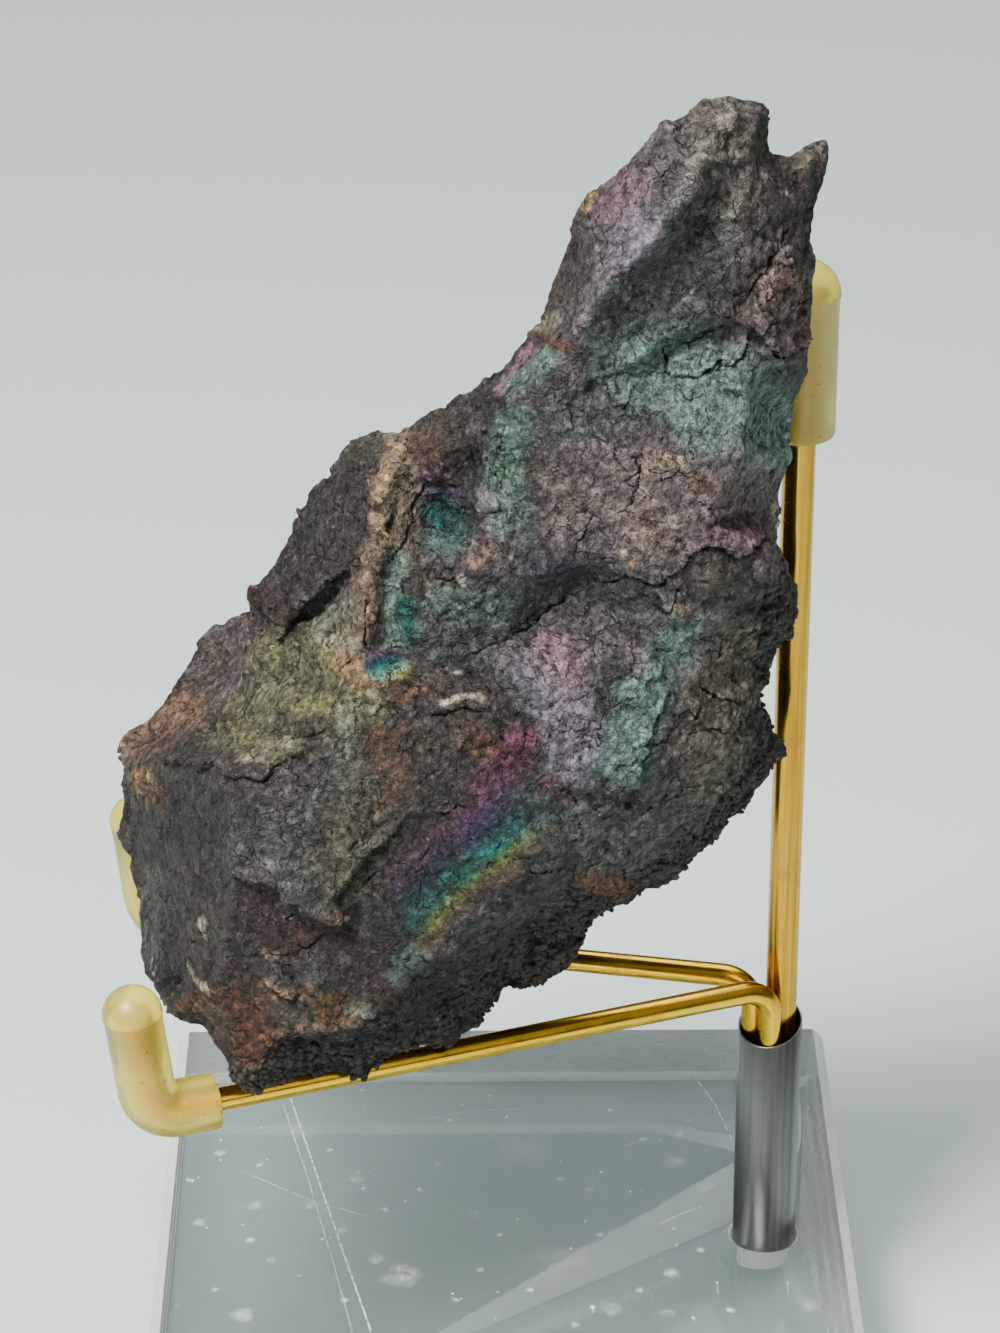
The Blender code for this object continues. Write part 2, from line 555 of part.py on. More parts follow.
def arm_route(bearing, elbow):
    """An arm from inside the tube, level to its elbow and up again, leaning outwards."""
    stand = place_in_tube(bearing, ARM_RADIUS)
    corner = Vector((*elbow, ARM_HEIGHT))
    level = (corner - stand - Vector((0, 0, ARM_HEIGHT))).normalized()
    return bent_route([stand + Vector((0, 0, WIRE_FOOT)), stand + Vector((0, 0, ARM_HEIGHT)),
                       corner, corner + level * ARM_LEAN + Vector((0, 0, ARM_RISE))], ARM_BEND)


def post_route():
    stand = place_in_tube(POST_BEARING, POST_RADIUS)
    return [stand + Vector((0, 0, WIRE_FOOT)), stand + Vector((0, 0, POST_TOP))]


def build_wire_and_sleeve(wire_name, sleeve_name, route, radius, length, outer, ball):
    """One wire and the sleeve over its end; returns the two cutters that clear the stone."""
    solid(wire_name, wire(route, radius), FINISHES["brass"])
    over = last_stretch(route, length)
    over[-1] = over[-1] + (over[-1] - over[-2]).normalized() * SLEEVE_CLEAR
    solid(sleeve_name, sleeve(over, outer, ball, radius + SLEEVE_CLEAR), FINISHES["silicone"])
    clearance = skin(ball_ended(over, outer + GAP, ball + GAP))
    return [hidden_cutter(wire_name + " clearance", wire(route, radius + GAP)),
            hidden_cutter(sleeve_name + " clearance", clearance)]


def build_stone(finish, cutters):
    blank = stone_blank()
    remesh = blank.modifiers.new("even surface", "REMESH")
    remesh.mode = "VOXEL"
    remesh.voxel_size = STONE_VOXEL * MM
    mesh = broken_up(evaluated_copy(blank))
    bpy.data.objects.remove(blank)
    count = 2 * len(mesh.faces)
    stone = solid("limonite", mesh, finish, smooth=False)
    fewer = stone.modifiers.new("fewer faces", "DECIMATE")
    fewer.ratio = STONE_TRIANGLES / count
    for cutter in cutters:
        cut(stone, cutter)
    return stone


for old in list(bpy.data.objects):
    bpy.data.objects.remove(old)

FINISHES = {
    "stone": material("tarnished limonite", (0.075, 0.065, 0.062), 0.62, 0.1),
    "acrylic": material("clear acrylic", (0.93, 0.95, 0.95), 0.06, 0.0, 1.0),
    "steel": material("brushed steel", (0.55, 0.54, 0.52), 0.3, 1.0),
    "brass": material("polished brass", (0.82, 0.58, 0.2), 0.2, 1.0),
    "silicone": material("frosted silicone", (0.85, 0.76, 0.5), 0.5),
}

build_foot(FINISHES["acrylic"])
build_tube(FINISHES["steel"])
clearances = build_wire_and_sleeve("front_arm", "front_tip", arm_route(FRONT_BEARING, FRONT_ELBOW),
                                   ARM_RADIUS, SLEEVE_LENGTH, SLEEVE_RADIUS, SLEEVE_BALL)
clearances += build_wire_and_sleeve("rear_arm", "rear_tip", arm_route(REAR_BEARING, REAR_ELBOW),
                                    ARM_RADIUS, SLEEVE_LENGTH, SLEEVE_RADIUS, SLEEVE_BALL)
clearances += build_wire_and_sleeve("post", "post_tip", post_route(), POST_RADIUS,
                                    POST_SLEEVE_LENGTH, POST_SLEEVE_RADIUS, POST_SLEEVE_BALL)
build_stone(FINISHES["stone"], clearances)
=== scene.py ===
import math

import bmesh
import bpy
import numpy as np
from mathutils import Matrix, Vector
from mathutils.bvhtree import BVHTree


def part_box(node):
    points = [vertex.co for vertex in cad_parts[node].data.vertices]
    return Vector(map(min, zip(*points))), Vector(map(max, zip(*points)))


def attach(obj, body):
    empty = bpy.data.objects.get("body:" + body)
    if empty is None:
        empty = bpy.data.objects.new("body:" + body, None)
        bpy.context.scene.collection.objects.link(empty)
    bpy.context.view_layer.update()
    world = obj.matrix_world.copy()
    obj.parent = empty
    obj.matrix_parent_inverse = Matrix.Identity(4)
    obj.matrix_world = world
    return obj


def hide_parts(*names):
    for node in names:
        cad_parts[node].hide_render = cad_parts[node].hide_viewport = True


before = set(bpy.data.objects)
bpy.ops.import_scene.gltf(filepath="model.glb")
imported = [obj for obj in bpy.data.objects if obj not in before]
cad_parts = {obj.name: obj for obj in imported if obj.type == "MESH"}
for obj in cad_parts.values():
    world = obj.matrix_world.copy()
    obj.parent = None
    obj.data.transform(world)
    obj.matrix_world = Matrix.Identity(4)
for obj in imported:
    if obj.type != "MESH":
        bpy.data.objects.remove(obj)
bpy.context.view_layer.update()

# Camera: where the photograph was taken from, a little above the stand and looking down on it. Its
# place, tilt and focal length come from fitting the stand's own sizes to the photograph.
SLAB_LOW, SLAB_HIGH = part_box("base")
EYE = Vector((-0.0051, -0.4761, SLAB_HIGH.z + 0.3254))
LOOK_DOWN, LOOK_RIGHT = math.radians(27.10), math.radians(0.54)
PHOTO_WIDTH, PHOTO_HEIGHT, PHOTO_FOCAL = 1000, 1333, 4460
camera_data = bpy.data.cameras.new("camera")
camera_data.sensor_width = 36.0
camera_data.lens = camera_data.sensor_width * PHOTO_FOCAL / PHOTO_HEIGHT
camera_data.clip_start = 0.01
camera = bpy.data.objects.new("camera", camera_data)
camera.location = EYE
camera.rotation_euler = (math.pi / 2 - LOOK_DOWN, 0, -LOOK_RIGHT)
bpy.context.scene.collection.objects.link(camera)
bpy.context.scene.camera = camera


# Studio: a plain pale floor under three soft lights, the brightest one high on the left and towards
# the front, and a dim sky that is lighter overhead.
def node(tree, kind, inputs=(), **settings):
    """A node with its settings; an input is given as a value, or as the output to link to it."""
    made = tree.nodes.new(kind)
    for name, value in settings.items():
        setattr(made, name, value)
    for key, value in dict(inputs).items():
        if isinstance(value, bpy.types.NodeSocket):
            tree.links.new(value, made.inputs[key])
        else:
            made.inputs[key].default_value = value
    return made


def finish(name, **plain):
    """A Principled material; plain holds the values that are the same all over the surface."""
    made = bpy.data.materials.new(name)
    made.use_nodes = True
    shader = made.node_tree.nodes["Principled BSDF"]
    for key, value in plain.items():
        shader.inputs[key.replace("_", " ")].default_value = value
    return made, made.node_tree, shader


def place_of(tree):
    """The point on the piece, in metres."""
    return node(tree, "ShaderNodeTexCoord").outputs["Object"]


def speckle(tree, where, size, detail=4.0, rough=0.6, twist=0.0):
    """Noise whose grains are about size millimetres across."""
    return node(tree, "ShaderNodeTexNoise", {"Vector": where, "Scale": 1000 / size, "Detail": detail,
                                             "Roughness": rough, "Distortion": twist}).outputs["Fac"]


def ranged(tree, value, low, high, to_low, to_high):
    """The value's run from low to high, moved to the run from to_low to to_high."""
    return node(tree, "ShaderNodeMapRange", {"Value": value, "From Min": low, "From Max": high,
                                             "To Min": to_low, "To Max": to_high}).outputs["Result"]


def blended(tree, amount, one, other, way="MIX"):
    """One colour going over into the other."""
    return node(tree, "ShaderNodeMix", {0: amount, 6: one, 7: other},
                data_type="RGBA", blend_type=way).outputs[2]


def bumped(tree, height, depth, strength=1.0, under=None):
    """A bump of this depth in millimetres."""
    inputs = {"Height": height, "Distance": depth * 0.001, "Strength": strength}
    if under is not None:
        inputs["Normal"] = under
    return node(tree, "ShaderNodeBump", inputs).outputs["Normal"]


def linked_object(name, data):
    """The object that shows this data."""
    made = bpy.data.objects.new(name, data)
    bpy.context.scene.collection.objects.link(made)
    return made


FLOOR_REACH, FLOOR_GAP = 3.0, 0.0003
floor_mesh = bmesh.new()
bmesh.ops.create_grid(floor_mesh, size=FLOOR_REACH)
floor_data = bpy.data.meshes.new("floor")
floor_mesh.to_mesh(floor_data)
floor_mesh.free()
floor = linked_object("floor", floor_data)
floor.location.z = -FLOOR_GAP
floor_finish, _, _ = finish("pale floor", Base_Color=(0.54, 0.65, 0.62, 1), Roughness=0.7)
floor_data.materials.append(floor_finish)

world = bpy.data.worlds.new("studio")
bpy.context.scene.world = world
world.use_nodes = True
sky = world.node_tree
height = node(sky, "ShaderNodeSeparateXYZ", {0: node(sky, "ShaderNodeTexCoord").outputs["Generated"]})
brighter = ranged(sky, height.outputs["Z"], 0.05, 0.95, 0.0, 1.0)
sky.links.new(blended(sky, brighter, (0.05, 0.055, 0.06, 1), (0.82, 0.88, 0.92, 1)),
              sky.nodes["Background"].inputs["Color"])
sky.nodes["Background"].inputs["Strength"].default_value = 0.43
AIM = Vector((0, 0, 0.09))
SOFT_LIGHTS = {
    "key": ((-0.31, -0.40, 0.76), 0.26, 21.0, (1.0, 0.99, 0.97)),
    "overhead": ((0.10, 0.30, 0.95), 0.80, 6.0, (0.95, 0.98, 1.0)),
    "front": ((0.30, -0.90, 0.60), 0.60, 2.2, (1.0, 0.98, 0.95)),
}
for light_name, (place, size, power, colour) in SOFT_LIGHTS.items():
    light_data = bpy.data.lights.new(light_name, "AREA")
    light_data.size, light_data.energy, light_data.color = size, power, colour
    light = linked_object(light_name, light_data)
    light.location = place
    light.rotation_euler = (AIM - Vector(place)).to_track_quat("-Z", "Y").to_euler()

# Foot: a slab sawn from clear cast acrylic, its faces polished and its edges broken, with a blind
# hole drilled for the tube. The drill left the hole's wall white and matt, as the file did the
# broken edges.
MM = 0.001
EDGE_CUT = 1.4 * MM
HOLE_RADIUS, HOLE_DEPTH, DRILL_POINT = 4.3 * MM, 9.5 * MM, 1.6 * MM
TUBE_AXIS = (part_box("tube")[0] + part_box("tube")[1]) / 2
HOLE_SIDES, HOLE_MARGIN = 64, 0.6 * MM
RIM_FLARE, RIM_ABOVE = 0.3 * MM, 0.1 * MM
SLANTING, UPRIGHT = 0.4, 0.9


def ring(centre, across, up, radius, sides):
    """Points of a circle round centre, in the plane of two unit vectors."""
    turns = [2 * math.pi * step / sides for step in range(sides)]
    return [centre + radius * (math.cos(a) * across + math.sin(a) * up) for a in turns]


def skinned(rings, looped=False):
    """A closed mesh over rings of points; its ends are filled unless the rings form a loop."""
    mesh = bmesh.new()
    rows = [[mesh.verts.new(point) for point in one] for one in rings]
    sides = len(rows[0])
    pairs = list(zip(rows, rows[1:]))
    if looped:
        pairs.append((rows[-1], rows[0]))
    for low, high in pairs:
        for side in range(sides):
            after = (side + 1) % sides
            mesh.faces.new((low[side], low[after], high[after], high[side]))
    if not looped:
        mesh.faces.new(rows[0][::-1])
        mesh.faces.new(rows[-1])
    bmesh.ops.recalc_face_normals(mesh, faces=mesh.faces)
    return mesh


def shown(name, mesh, *finishes, sharp=35):
    """The mesh as a piece at the origin, smooth between its sharp edges."""
    data = bpy.data.meshes.new(name)
    mesh.to_mesh(data)
    mesh.free()
    data.shade_smooth()
    data.set_sharp_from_angle(angle=math.radians(sharp))
    for one in finishes:
        data.materials.append(one)
    return linked_object(name, data)


def settled(carrier, name):
    """A plain mesh object of what the carrier's modifiers make; the carrier is removed."""
    evaluated = carrier.evaluated_get(bpy.context.evaluated_depsgraph_get())
    data = bpy.data.meshes.new_from_object(evaluated)
    data.name = name
    bpy.data.objects.remove(carrier)
    return linked_object(name, data)


def with_stand(piece, slot, *nodes):
    """The piece rides on the stand's one body and stands for these nodes."""
    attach(piece, "root")
    if nodes:
        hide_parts(*nodes)
    return piece


acrylic, tree, surface = finish("clear acrylic", Base_Color=(0.79, 0.82, 0.82, 1), IOR=1.49,
                                Transmission_Weight=1.0)
where = place_of(tree)
wiped = speckle(tree, where, 26.0, detail=3.0)
tree.links.new(ranged(tree, wiped, 0.35, 0.75, 0.015, 0.10), surface.inputs["Roughness"])
tree.links.new(bumped(tree, speckle(tree, where, 7.0, detail=2.0), 0.02), surface.inputs["Normal"])

matt, tree, surface = finish("matt acrylic", Base_Color=(0.93, 0.94, 0.93, 1), IOR=1.49,
                             Transmission_Weight=0.5, Roughness=0.6)
rings_left = node(tree, "ShaderNodeTexWave", {"Vector": place_of(tree), "Scale": 900.0,
                                              "Distortion": 1.5}, bands_direction="Z")
tree.links.new(bumped(tree, rings_left.outputs["Fac"], 0.08), surface.inputs["Normal"])

sawn, tree, surface = finish("sawn side", Base_Color=(0.93, 0.945, 0.94, 1), IOR=1.49,
                             Transmission_Weight=0.88)
marks = speckle(tree, node(tree, "ShaderNodeMapping", {"Vector": place_of(tree),
                                                       "Scale": (1, 1, 9)}).outputs[0], 3.0)
tree.links.new(ranged(tree, marks, 0.3, 0.7, 0.22, 0.42), surface.inputs["Roughness"])
tree.links.new(bumped(tree, marks, 0.03), surface.inputs["Normal"])

slab_mesh = bmesh.new()
bmesh.ops.create_cube(slab_mesh, size=1.0)
bmesh.ops.scale(slab_mesh, vec=SLAB_HIGH - SLAB_LOW, verts=slab_mesh.verts)
bmesh.ops.translate(slab_mesh, vec=(SLAB_LOW + SLAB_HIGH) / 2, verts=slab_mesh.verts)
bmesh.ops.bevel(slab_mesh, geom=slab_mesh.edges[:], offset=EDGE_CUT, segments=1, profile=0.5,
                affect="EDGES")
slab = shown("slab", slab_mesh, acrylic, matt, sawn)
hole_rings = []
for radius, depth in ((0.1 * MM, HOLE_DEPTH + DRILL_POINT), (HOLE_RADIUS, HOLE_DEPTH),
                      (HOLE_RADIUS, 0.2 * MM), (HOLE_RADIUS + RIM_FLARE, -RIM_ABOVE)):
    hole_rings.append(ring(Vector((TUBE_AXIS.x, TUBE_AXIS.y, SLAB_HIGH.z - depth)),
                           Vector((1, 0, 0)), Vector((0, 1, 0)), radius, HOLE_SIDES))
hole = shown("hole", skinned(hole_rings))
drilling = slab.modifiers.new("drilling", "BOOLEAN")
drilling.operation, drilling.solver, drilling.object = "DIFFERENCE", "EXACT", hole
slab = settled(slab, "slab")
bpy.data.objects.remove(hole)
for face in slab.data.polygons:
    out = Vector((face.center.x - TUBE_AXIS.x, face.center.y - TUBE_AXIS.y))
    in_hole = out.length < HOLE_RADIUS + HOLE_MARGIN and face.center.z < SLAB_HIGH.z - 0.01 * MM
    slanting = sorted(abs(share) for share in face.normal)[1] > SLANTING
    if in_hole or slanting:
        face.material_index = 1
    elif abs(face.normal.z) < UPRIGHT:
        face.material_index = 2
with_stand(slab, "acrylic", "base")

# Scratches: fine grooves with whitish torn edges in the acrylic, left on the top by wiping and by
# sliding things over it. Each is a thin ribbon whose middle lies a hair above the face.
SCRATCH_HEIGHT, SCRATCH_LIFT = 0.012 * MM, 0.004 * MM


def sight_line(photo_x, photo_y):
    """The direction from the eye through a pixel of the 1000 x 1333 photograph."""
    turn = camera.rotation_euler.to_matrix()
    return turn @ Vector(((photo_x - PHOTO_WIDTH / 2) / PHOTO_FOCAL,
                          (PHOTO_HEIGHT / 2 - photo_y) / PHOTO_FOCAL, -1.0))


def on_slab(photo_x, photo_y):
    """The point of the slab's top that the pixel shows."""
    line = sight_line(photo_x, photo_y)
    return EYE + line * ((SLAB_HIGH.z - EYE.z) / line.z)


def polyline(name, runs):
    """An object of bare edges along each run of points."""
    data = bpy.data.meshes.new(name)
    points, edges = [], []
    for run in runs:
        edges += [(len(points) + step, len(points) + step + 1) for step in range(len(run) - 1)]
        points += run
    data.from_pydata(points, edges, [])
    return linked_object(name, data)


def geometry_tree(name, **sizes):
    """An empty Geometry Nodes tree with named number inputs; returns it and their identifiers."""
    made = bpy.data.node_groups.new(name, "GeometryNodeTree")
    made.interface.new_socket("Geometry", in_out="INPUT", socket_type="NodeSocketGeometry")
    made.interface.new_socket("Geometry", in_out="OUTPUT", socket_type="NodeSocketGeometry")
    keys = {}
    for label, value in sizes.items():
        socket = made.interface.new_socket(label, in_out="INPUT", socket_type="NodeSocketFloat")
        socket.default_value = value
        keys[label] = socket.identifier
    start = made.nodes.new("NodeGroupInput")
    return made, keys, start.outputs


def ended(made, geometry, material):
    """The tree's end: instances realized and the material set."""
    real = node(made, "GeometryNodeRealizeInstances", {"Geometry": geometry})
    painted = node(made, "GeometryNodeSetMaterial", {"Geometry": real.outputs[0],
                                                     "Material": material})
    node(made, "NodeGroupOutput", {0: painted.outputs[0]})


def grown(carrier, name, made, keys, **sizes):
    """What the tree makes of the carrier, as a plain mesh piece."""
    modifier = carrier.modifiers.new(name, "NODES")
    modifier.node_group = made
    for label, value in sizes.items():
        modifier[keys[label]] = value
    return settled(carrier, name)


torn, tree, surface = finish("torn acrylic", Base_Color=(0.93, 0.95, 0.95, 1), Roughness=0.55)
broken_line = speckle(tree, place_of(tree), 1.2)
tree.links.new(ranged(tree, broken_line, 0.36, 0.56, 0.15, 0.9), surface.inputs["Alpha"])

SCRATCHES = {
    "long straight scratch": (0.24, [(291, 1099), (318, 1178), (345, 1257), (371, 1331)]),
    "scratch beside it": (0.09, [(283, 1104), (308, 1178), (333, 1262), (352, 1331)]),
    "bowed scratch": (0.14, [(693, 1076), (704, 1089), (716, 1106), (725, 1125), (731, 1138)]),
    "slanting scratch": (0.11, [(657, 1225), (680, 1214), (702, 1206)]),
    "short scratch": (0.09, [(620, 1148), (646, 1138)]),
    "faint long scratch": (0.07, [(240, 1170), (300, 1196), (365, 1216)]),
    "faint corner scratch": (0.07, [(420, 1120), (470, 1111), (520, 1109)]),
}
groove, groove_keys, given = geometry_tree("groove", Width=0.1 * MM, Height=SCRATCH_HEIGHT)
line = node(groove, "GeometryNodeMeshToCurve", {"Mesh": given["Geometry"]})
flat = node(groove, "GeometryNodeCurvePrimitiveQuadrilateral", {"Width": given["Width"],
                                                                "Height": given["Height"]})
strip = node(groove, "GeometryNodeCurveToMesh", {"Curve": line.outputs[0],
                                                 "Profile Curve": flat.outputs[0],
                                                 "Fill Caps": True})
ended(groove, strip.outputs[0], torn)
for scratch_name, (width, pixels) in SCRATCHES.items():
    lift = Vector((0, 0, SCRATCH_LIFT))
    run = [on_slab(*pixel) + lift for pixel in pixels]
    one = grown(polyline(scratch_name, [run]), scratch_name.replace(" ", "_"), groove, groove_keys,
                Width=width * MM)
    with_stand(one, "acrylic")

# Dust: grit and lint of all small sizes, lying loose on the slab's top. It is grown as rounded
# grains strewn over the face.
dust, tree, surface = finish("pale dust", Roughness=0.9)
fleck = speckle(tree, place_of(tree), 4.0, detail=1.0)
tree.links.new(blended(tree, ranged(tree, fleck, 0.35, 0.65, 0, 1), (0.62, 0.63, 0.60, 1),
                       (0.86, 0.87, 0.85, 1)), surface.inputs["Base Color"])
DUST_SPECKS_PER_M2, DUST_SIZE, DUST_SEED = 46000, 0.14 * MM, 7
SHORTEST_SPECK, LONGEST_SPECK = (0.6, 0.6, 0.25), (1.7, 1.0, 0.5)


def figured(tree, way, one, other=0.0):
    """What the Math node's operation of this name makes of two values."""
    return node(tree, "ShaderNodeMath", {0: one, 1: other}, operation=way).outputs[0]


def scaled(tree, vector, by):
    """The vector, made longer or shorter."""
    return node(tree, "ShaderNodeVectorMath", {0: vector, 3: by}, operation="SCALE").outputs[0]


def random_vector(tree, low, high, seed):
    """A vector of its own for each grain, between low and high."""
    return node(tree, "FunctionNodeRandomValue", {0: low, 1: high, 8: seed},
                data_type="FLOAT_VECTOR").outputs[0]


def strewn(tree, bed, density, radius, most_turn, size, seed):
    """Faceted grains at random places on the bed, each turned and sized in its own way."""
    spread = node(tree, "GeometryNodeDistributePointsOnFaces",
                  {"Mesh": bed, "Density": density, "Seed": seed})
    grain = node(tree, "GeometryNodeMeshIcoSphere", {"Radius": radius, "Subdivisions": 1})
    turned = random_vector(tree, (0, 0, 0), most_turn, seed)
    return node(tree, "GeometryNodeInstanceOnPoints",
                {"Points": spread.outputs[0], "Instance": grain.outputs[0], "Rotation": turned,
                 "Scale": size}).outputs[0]


dusting, dusting_keys, given = geometry_tree("dusting", Density=DUST_SPECKS_PER_M2, Size=DUST_SIZE)
odds = node(dusting, "FunctionNodeRandomValue", {2: 0.0, 3: 1.0, 8: DUST_SEED + 1}).outputs[1]
often_small = figured(dusting, "POWER", odds, 5.0)
grown_size = node(dusting, "ShaderNodeMath", {0: often_small, 1: 1.9, 2: 0.35},
                  operation="MULTIPLY_ADD").outputs[0]
longer = random_vector(dusting, SHORTEST_SPECK, LONGEST_SPECK, DUST_SEED + 2)
laid = strewn(dusting, given["Geometry"], given["Density"], given["Size"], (0.4, 0.4, 6.28),
              scaled(dusting, longer, grown_size), DUST_SEED)
ended(dusting, laid, dust)
top_mesh = bmesh.new()
bmesh.ops.create_grid(top_mesh, size=1.0)
INSIDE_EDGE = 2.0 * MM
bmesh.ops.scale(top_mesh, vec=(SLAB_HIGH.x - INSIDE_EDGE, SLAB_HIGH.y - INSIDE_EDGE, 1),
                verts=top_mesh.verts)
bmesh.ops.translate(top_mesh, vec=(0, 0, SLAB_HIGH.z), verts=top_mesh.verts)
with_stand(grown(shown("slab_top", top_mesh), "slab_dust", dusting, dusting_keys), "acrylic")

# Smudges: dried drops and finger marks on the top, films far thinner than paper. Each is a thin
# whitish veil that fades out at its edge.
veil, tree, surface = finish("dried veil", Base_Color=(0.96, 0.97, 0.97, 1), Roughness=0.65)
density = node(tree, "ShaderNodeAttribute", attribute_name="veil").outputs["Fac"]
patchy = ranged(tree, speckle(tree, place_of(tree), 1.3, detail=6.0), 0.32, 0.62, 0.0, 1.0)
tree.links.new(figured(tree, "MULTIPLY", density, patchy), surface.inputs["Alpha"])
SMUDGE_LIFT, SMUDGE_SIDES = 0.02 * MM, 22
SPOT_RADIUS, SPOT_STRENGTH = 0.55, 0.75
# Place in the photograph, radius in millimetres, and strength.
SMUDGES = [(311, 1205, 1.0, 0.5), (242, 1315, 1.3, 0.7), (272, 1260, 0.8, 0.6), (375, 1259, 1.2, 0.4),
           (401, 1276, 2.6, 0.55), (221, 1153, 0.7, 0.6), (199, 1223, 0.9, 0.5), (356, 1179, 1.0, 0.4),
           (342, 1230, 0.8, 0.4), (675, 1161, 1.6, 0.4), (680, 1134, 0.8, 0.5), (644, 1139, 0.7, 0.5),
           (706, 1187, 1.3, 0.35), (671, 1273, 1.0, 0.5), (812, 1306, 1.2, 0.5), (668, 1313, 0.8, 0.6),
           (520, 1150, 3.4, 0.16), (560, 1260, 4.2, 0.14), (300, 1130, 3.0, 0.15),
           (470, 1215, 1.2, 0.3), (588, 1190, 0.9, 0.35), (255, 1205, 1.1, 0.35),
           (770, 1225, 1.4, 0.3), (440, 1165, 0.8, 0.35), (610, 1310, 1.5, 0.3)]
SMALL_SPOTS = [(250, 1240), (300, 1275), (330, 1150), (420, 1190), (455, 1300), (500, 1235), (530, 1290),
               (560, 1180), (600, 1235), (640, 1290), (700, 1250), (730, 1310), (215, 1290), (190, 1180),
               (450, 1120), (610, 1110), (385, 1210), (480, 1270), (345, 1300), (575, 1325), (260, 1165)]
SMUDGES += [(photo_x, photo_y, SPOT_RADIUS, SPOT_STRENGTH) for photo_x, photo_y in SMALL_SPOTS]
smudge_mesh = bmesh.new()
layer = smudge_mesh.verts.layers.float.new("veil")
jitter = np.random.default_rng(3)
for photo_x, photo_y, radius, strength in SMUDGES:
    middle = on_slab(photo_x, photo_y) + Vector((0, 0, SMUDGE_LIFT))
    hub = smudge_mesh.verts.new(middle)
    hub[layer] = strength
    sway = jitter.uniform(0.7, 1.3, SMUDGE_SIDES)
    sway = (sway + np.roll(sway, 1) + np.roll(sway, -1)) / 3
    wheel = []
    for share, level in ((0.6, strength * 0.5), (1.3, 0.0)):
        turns = [2 * math.pi * step / SMUDGE_SIDES for step in range(SMUDGE_SIDES)]
        wheel.append([smudge_mesh.verts.new(middle + Vector((math.cos(a), math.sin(a), 0))
                                            * radius * share * s * MM)
                      for a, s in zip(turns, sway)])
        for vert in wheel[-1]:
            vert[layer] = level
    for side in range(SMUDGE_SIDES):
        after = (side + 1) % SMUDGE_SIDES
        smudge_mesh.faces.new((hub, wheel[0][side], wheel[0][after]))
        smudge_mesh.faces.new((wheel[0][side], wheel[1][side], wheel[1][after], wheel[0][after]))
with_stand(shown("slab_smudges", smudge_mesh, veil), "acrylic")

# Tube: thin drawn steel, pressed into the slab's hole, its mouth filed off on a slant to let the
# arms out lower at the front.
TUBE_LOW, TUBE_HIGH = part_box("tube")
TUBE_RADIUS = (TUBE_HIGH.x - TUBE_LOW.x) / 2
TUBE_WALL, LIP_ROUND = 0.25 * MM, 0.06 * MM
TUBE_TOP = SLAB_HIGH.z + 31.7 * MM
MOUTH_RISE_X, MOUTH_RISE_Y = 0.14, 0.34
TUBE_SIDES = 72

steel, tree, surface = finish("drawn steel", Metallic=1.0)
drawn = node(tree, "ShaderNodeMapping", {"Vector": place_of(tree), "Scale": (1, 1, 0.02)})
lines = speckle(tree, drawn.outputs[0], 0.5, detail=5.0)
cloudy = speckle(tree, drawn.outputs[0], 1.6, detail=3.0)
tree.links.new(ranged(tree, lines, 0.3, 0.7, 0.27, 0.38), surface.inputs["Roughness"])
tree.links.new(blended(tree, ranged(tree, cloudy, 0.35, 0.7, 0, 1), (0.10, 0.10, 0.095, 1),
                       (0.21, 0.207, 0.195, 1)), surface.inputs["Base Color"])
tree.links.new(bumped(tree, lines, 0.003), surface.inputs["Normal"])

tube_rings = []
for radius, from_mouth in ((TUBE_RADIUS - TUBE_WALL, None), (TUBE_RADIUS - TUBE_WALL, -LIP_ROUND),
                           (TUBE_RADIUS - TUBE_WALL + LIP_ROUND, 0), (TUBE_RADIUS - LIP_ROUND, 0),
                           (TUBE_RADIUS, -LIP_ROUND), (TUBE_RADIUS, None)):
    one = ring(Vector((TUBE_AXIS.x, TUBE_AXIS.y, TUBE_LOW.z)), Vector((1, 0, 0)),
               Vector((0, 1, 0)), radius, TUBE_SIDES)
    if from_mouth is not None:
        for point in one:
            point.z = (TUBE_TOP + from_mouth + MOUTH_RISE_X * (point.x - TUBE_AXIS.x)
                       + MOUTH_RISE_Y * (point.y - TUBE_AXIS.y))
    tube_rings.append(one)
with_stand(shown("steel_tube", skinned(tube_rings, looped=True), steel, sharp=50), "steel", "tube")

# Arms and post: half-hard brass wire, polished, bent cold round a pin and wedged side by side in
# the tube. The two arms run level under the stone and turn up at their ends; the post is straight.
ARM_RADIUS, POST_RADIUS, WIRE_GAP = 1.45 * MM, 1.95 * MM, 0.13 * MM
ARM_HEIGHT = SLAB_HIGH.z + 38.0 * MM
ARM_BEND, BEND_STEPS = 3.9 * MM, 12
ARM_RISE, ARM_LEAN = 13.8 * MM, 1.7 * MM
POST_TOP = SLAB_HIGH.z + 129.0 * MM
WIRE_FOOT = SLAB_HIGH.z - 7.5 * MM


def bent_route(corners, bend):
    """Points along straight runs between the corners, with an arc at each one between."""
    route = [corners[0]]
    for before, corner, after in zip(corners, corners[1:], corners[2:]):
        inwards = (before - corner).normalized()
        onwards = (after - corner).normalized()
        half = inwards.angle(onwards) / 2
        back = min(bend / math.tan(half), 0.45 * (before - corner).length)
        radius = back * math.tan(half)
        centre = corner + (inwards + onwards).normalized() * radius / math.sin(half)
        start = corner + inwards * back - centre
        axis = start.cross(corner + onwards * back - centre).normalized()
        for step in range(BEND_STEPS + 1):
            part_turn = Matrix.Rotation((math.pi - 2 * half) * step / BEND_STEPS, 3, axis)
            route.append(centre + part_turn @ start)
    route.append(corners[-1])
    return route


def stand_in_tube(bearing, radius):
    """Where a wire of this radius stands against the tube's wall, in the given direction."""
    out = TUBE_RADIUS - TUBE_WALL - radius - WIRE_GAP / 2
    turn = math.radians(bearing)
    return Vector((TUBE_AXIS.x + out * math.cos(turn), out * math.sin(turn), 0.0))


